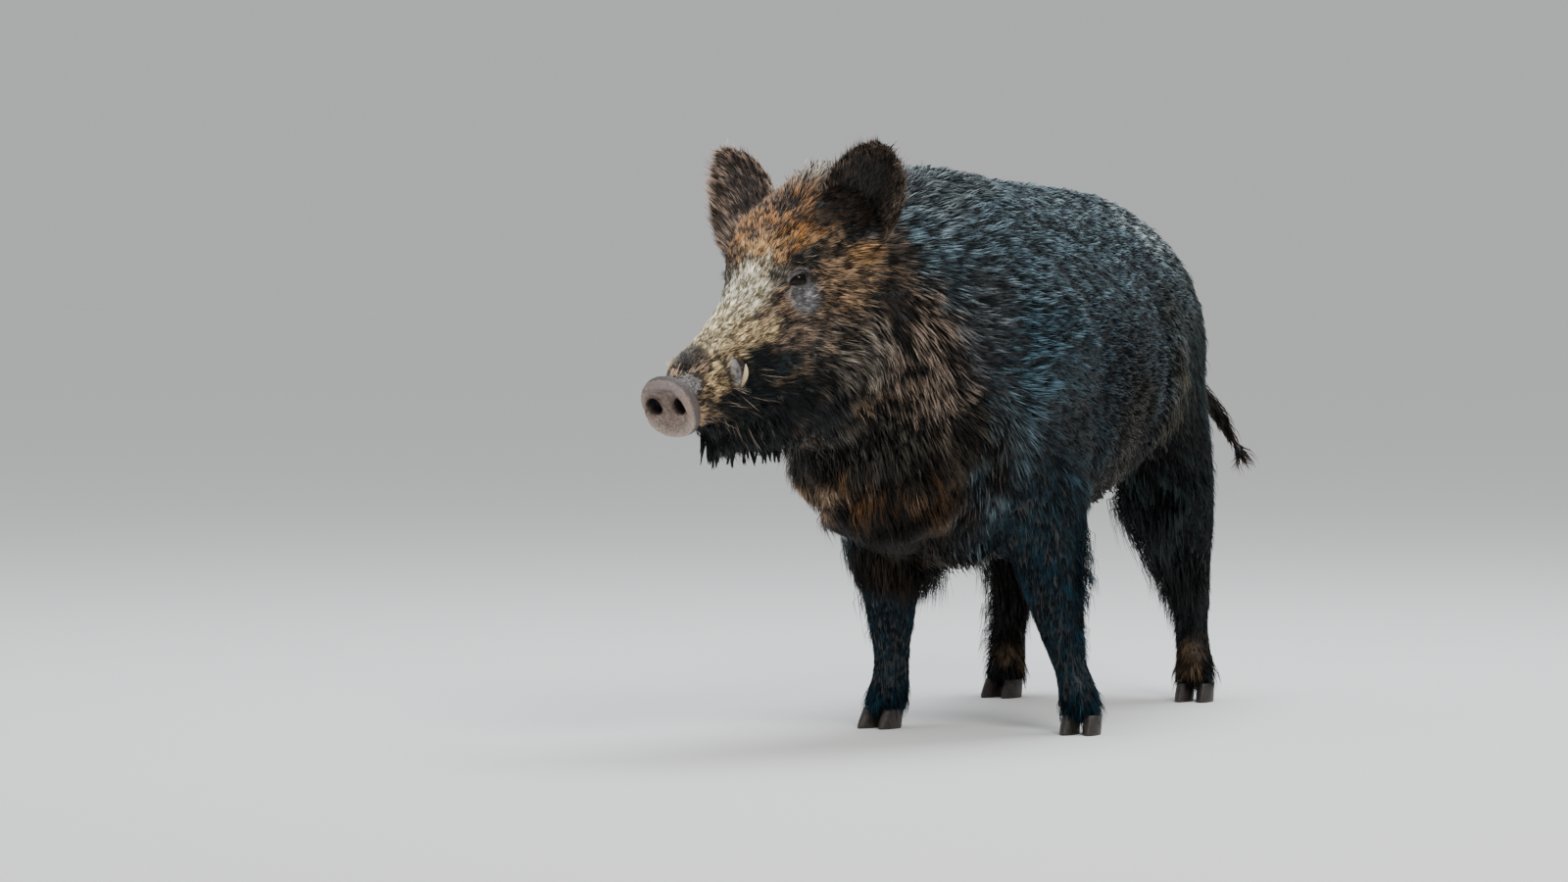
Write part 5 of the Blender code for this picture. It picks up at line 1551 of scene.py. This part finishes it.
def clawMesh(name):
    bm = mergedNode(name)
    bmesh.ops.dissolve_limit(bm, angle_limit=0.02, verts=bm.verts, edges=bm.edges)
    crease = bm.edges.layers.float.new("crease_edge")
    for e in bm.edges:
        if len(e.link_faces) == 2 and e.calc_face_angle(0) > clawSetting["sharpAngle"]:
            e[crease] = clawSetting["crease"] if e.verts[0].co.z > 0.002 else clawSetting["soleCrease"]
    mesh = bpy.data.meshes.new("step")
    bm.to_mesh(mesh)
    bm.free()
    thing = newObject("step", mesh)
    thing.modifiers.new("round", "SUBSURF").levels = clawSetting["rounds"]
    result = meshArrays(evaluatedMesh(thing))
    bpy.data.objects.remove(thing)
    return result


def clawMaterial():
    made, add, shader = newMaterial("claw_horn")
    where = objectSpot(add)
    drawnOut = add("Mapping", {"Vector": where, "Scale": (1.0, 1.0, 0.16)}).outputs["Vector"]
    streak, worn = noise(add, drawnOut, 520.0, 3.0), noise(add, where, 110.0)
    grain = maths(add, "MULTIPLY_ADD", streak, 0.55, maths(add, "MULTIPLY", worn, 0.45))
    tint = ramped(add, grain, (0.36, (20, 17, 16)), (0.66, (58, 50, 45)))
    plug(shader, {"Base Color": tint, "Roughness": ranged(add, worn, 0.38, 0.70),
                  "Normal": bumped(add, streak, 0.5, 0.0006)})
    return made


clawPoints, clawTriangles = joined([clawMesh(name) for name in clawNodes])
mesh = triangleMesh("claws", clawPoints, clawTriangles)
mesh.materials.append(clawMaterial())
addPiece("claws", mesh, "claw", *clawNodes)
print("tusks and claws done", len(clawTriangles), "triangles")

studio = {
    "floorTint": (0.92, 0.92, 0.91), "floorGlow": 0.048,
    "worldTint": (0.84, 0.85, 0.86), "worldStrength": 0.60,
    # name, place, aimed at, width, watts, tint
    "lamps": [("key", (3.2, -4.2, 4.4), (0.0, -0.3, 0.5), 2.2, 190.0, (1.0, 0.97, 0.93)),
              ("sky", (0.2, 1.2, 4.6), (0.0, 0.1, 0.6), 3.0, 200.0, (0.90, 0.95, 1.0)),
              ("fill", (-3.6, -2.6, 2.2), (0.0, -0.2, 0.5), 3.0, 30.0, (0.95, 0.97, 1.0))],
}


def aimed(thing, at, target):
    thing.location = at
    thing.rotation_mode = "QUATERNION"
    thing.rotation_quaternion = (Vector(target) - Vector(at)).to_track_quat("-Z", "Y")


floorMesh = bpy.data.meshes.new("floor")
bm = bmesh.new()
bmesh.ops.create_grid(bm, x_segments=2, y_segments=2, size=30.0)
bm.to_mesh(floorMesh)
bm.free()
floor = newObject("floor", floorMesh)
floorFinish, add, shader = newMaterial("floor_plain")
plug(shader, {"Base Color": (*studio["floorTint"], 1), "Roughness": 0.9,
              "Emission Color": (*studio["worldTint"], 1),
              "Emission Strength": studio["floorGlow"]})       # evens the far floor with the backdrop
floorMesh.materials.append(floorFinish)
world = bpy.data.worlds.new("studio")
world.use_nodes = True
plug(world.node_tree.nodes["Background"], {"Color": (*studio["worldTint"], 1),
                                           "Strength": studio["worldStrength"]})
bpy.context.scene.world = world
for name, at, target, size, power, tint in studio["lamps"]:
    lamp = bpy.data.lights.new(name, "AREA")
    lamp.shape, lamp.size, lamp.energy, lamp.color = "DISK", size, power, tint
    aimed(newObject(name, lamp), at, target)

viewpoint = {"distance": 10.7, "bearing": 18.2, "height": 0.837, "aside": 207 / 7233, "below": 270 / 7233,
             "lens": 162.74}
bearing = math.radians(viewpoint["bearing"])
yaw, pitch = bearing + math.atan(viewpoint["aside"]), math.atan(viewpoint["below"])
cameraData = bpy.data.cameras.new("camera")
cameraData.sensor_width, cameraData.lens = 36.0, viewpoint["lens"]
cameraData.clip_end = 100.0
camera = newObject("camera", cameraData)
stand = Vector((stance["shift"][0] + viewpoint["distance"] * math.sin(bearing),
                stance["shift"][1] - viewpoint["distance"] * math.cos(bearing), viewpoint["height"]))
view = Vector((-math.sin(yaw) * math.cos(pitch), math.cos(yaw) * math.cos(pitch), -math.sin(pitch)))
aimed(camera, stand, stand + view)
bpy.context.scene.camera = camera
print("floor, light and camera done")
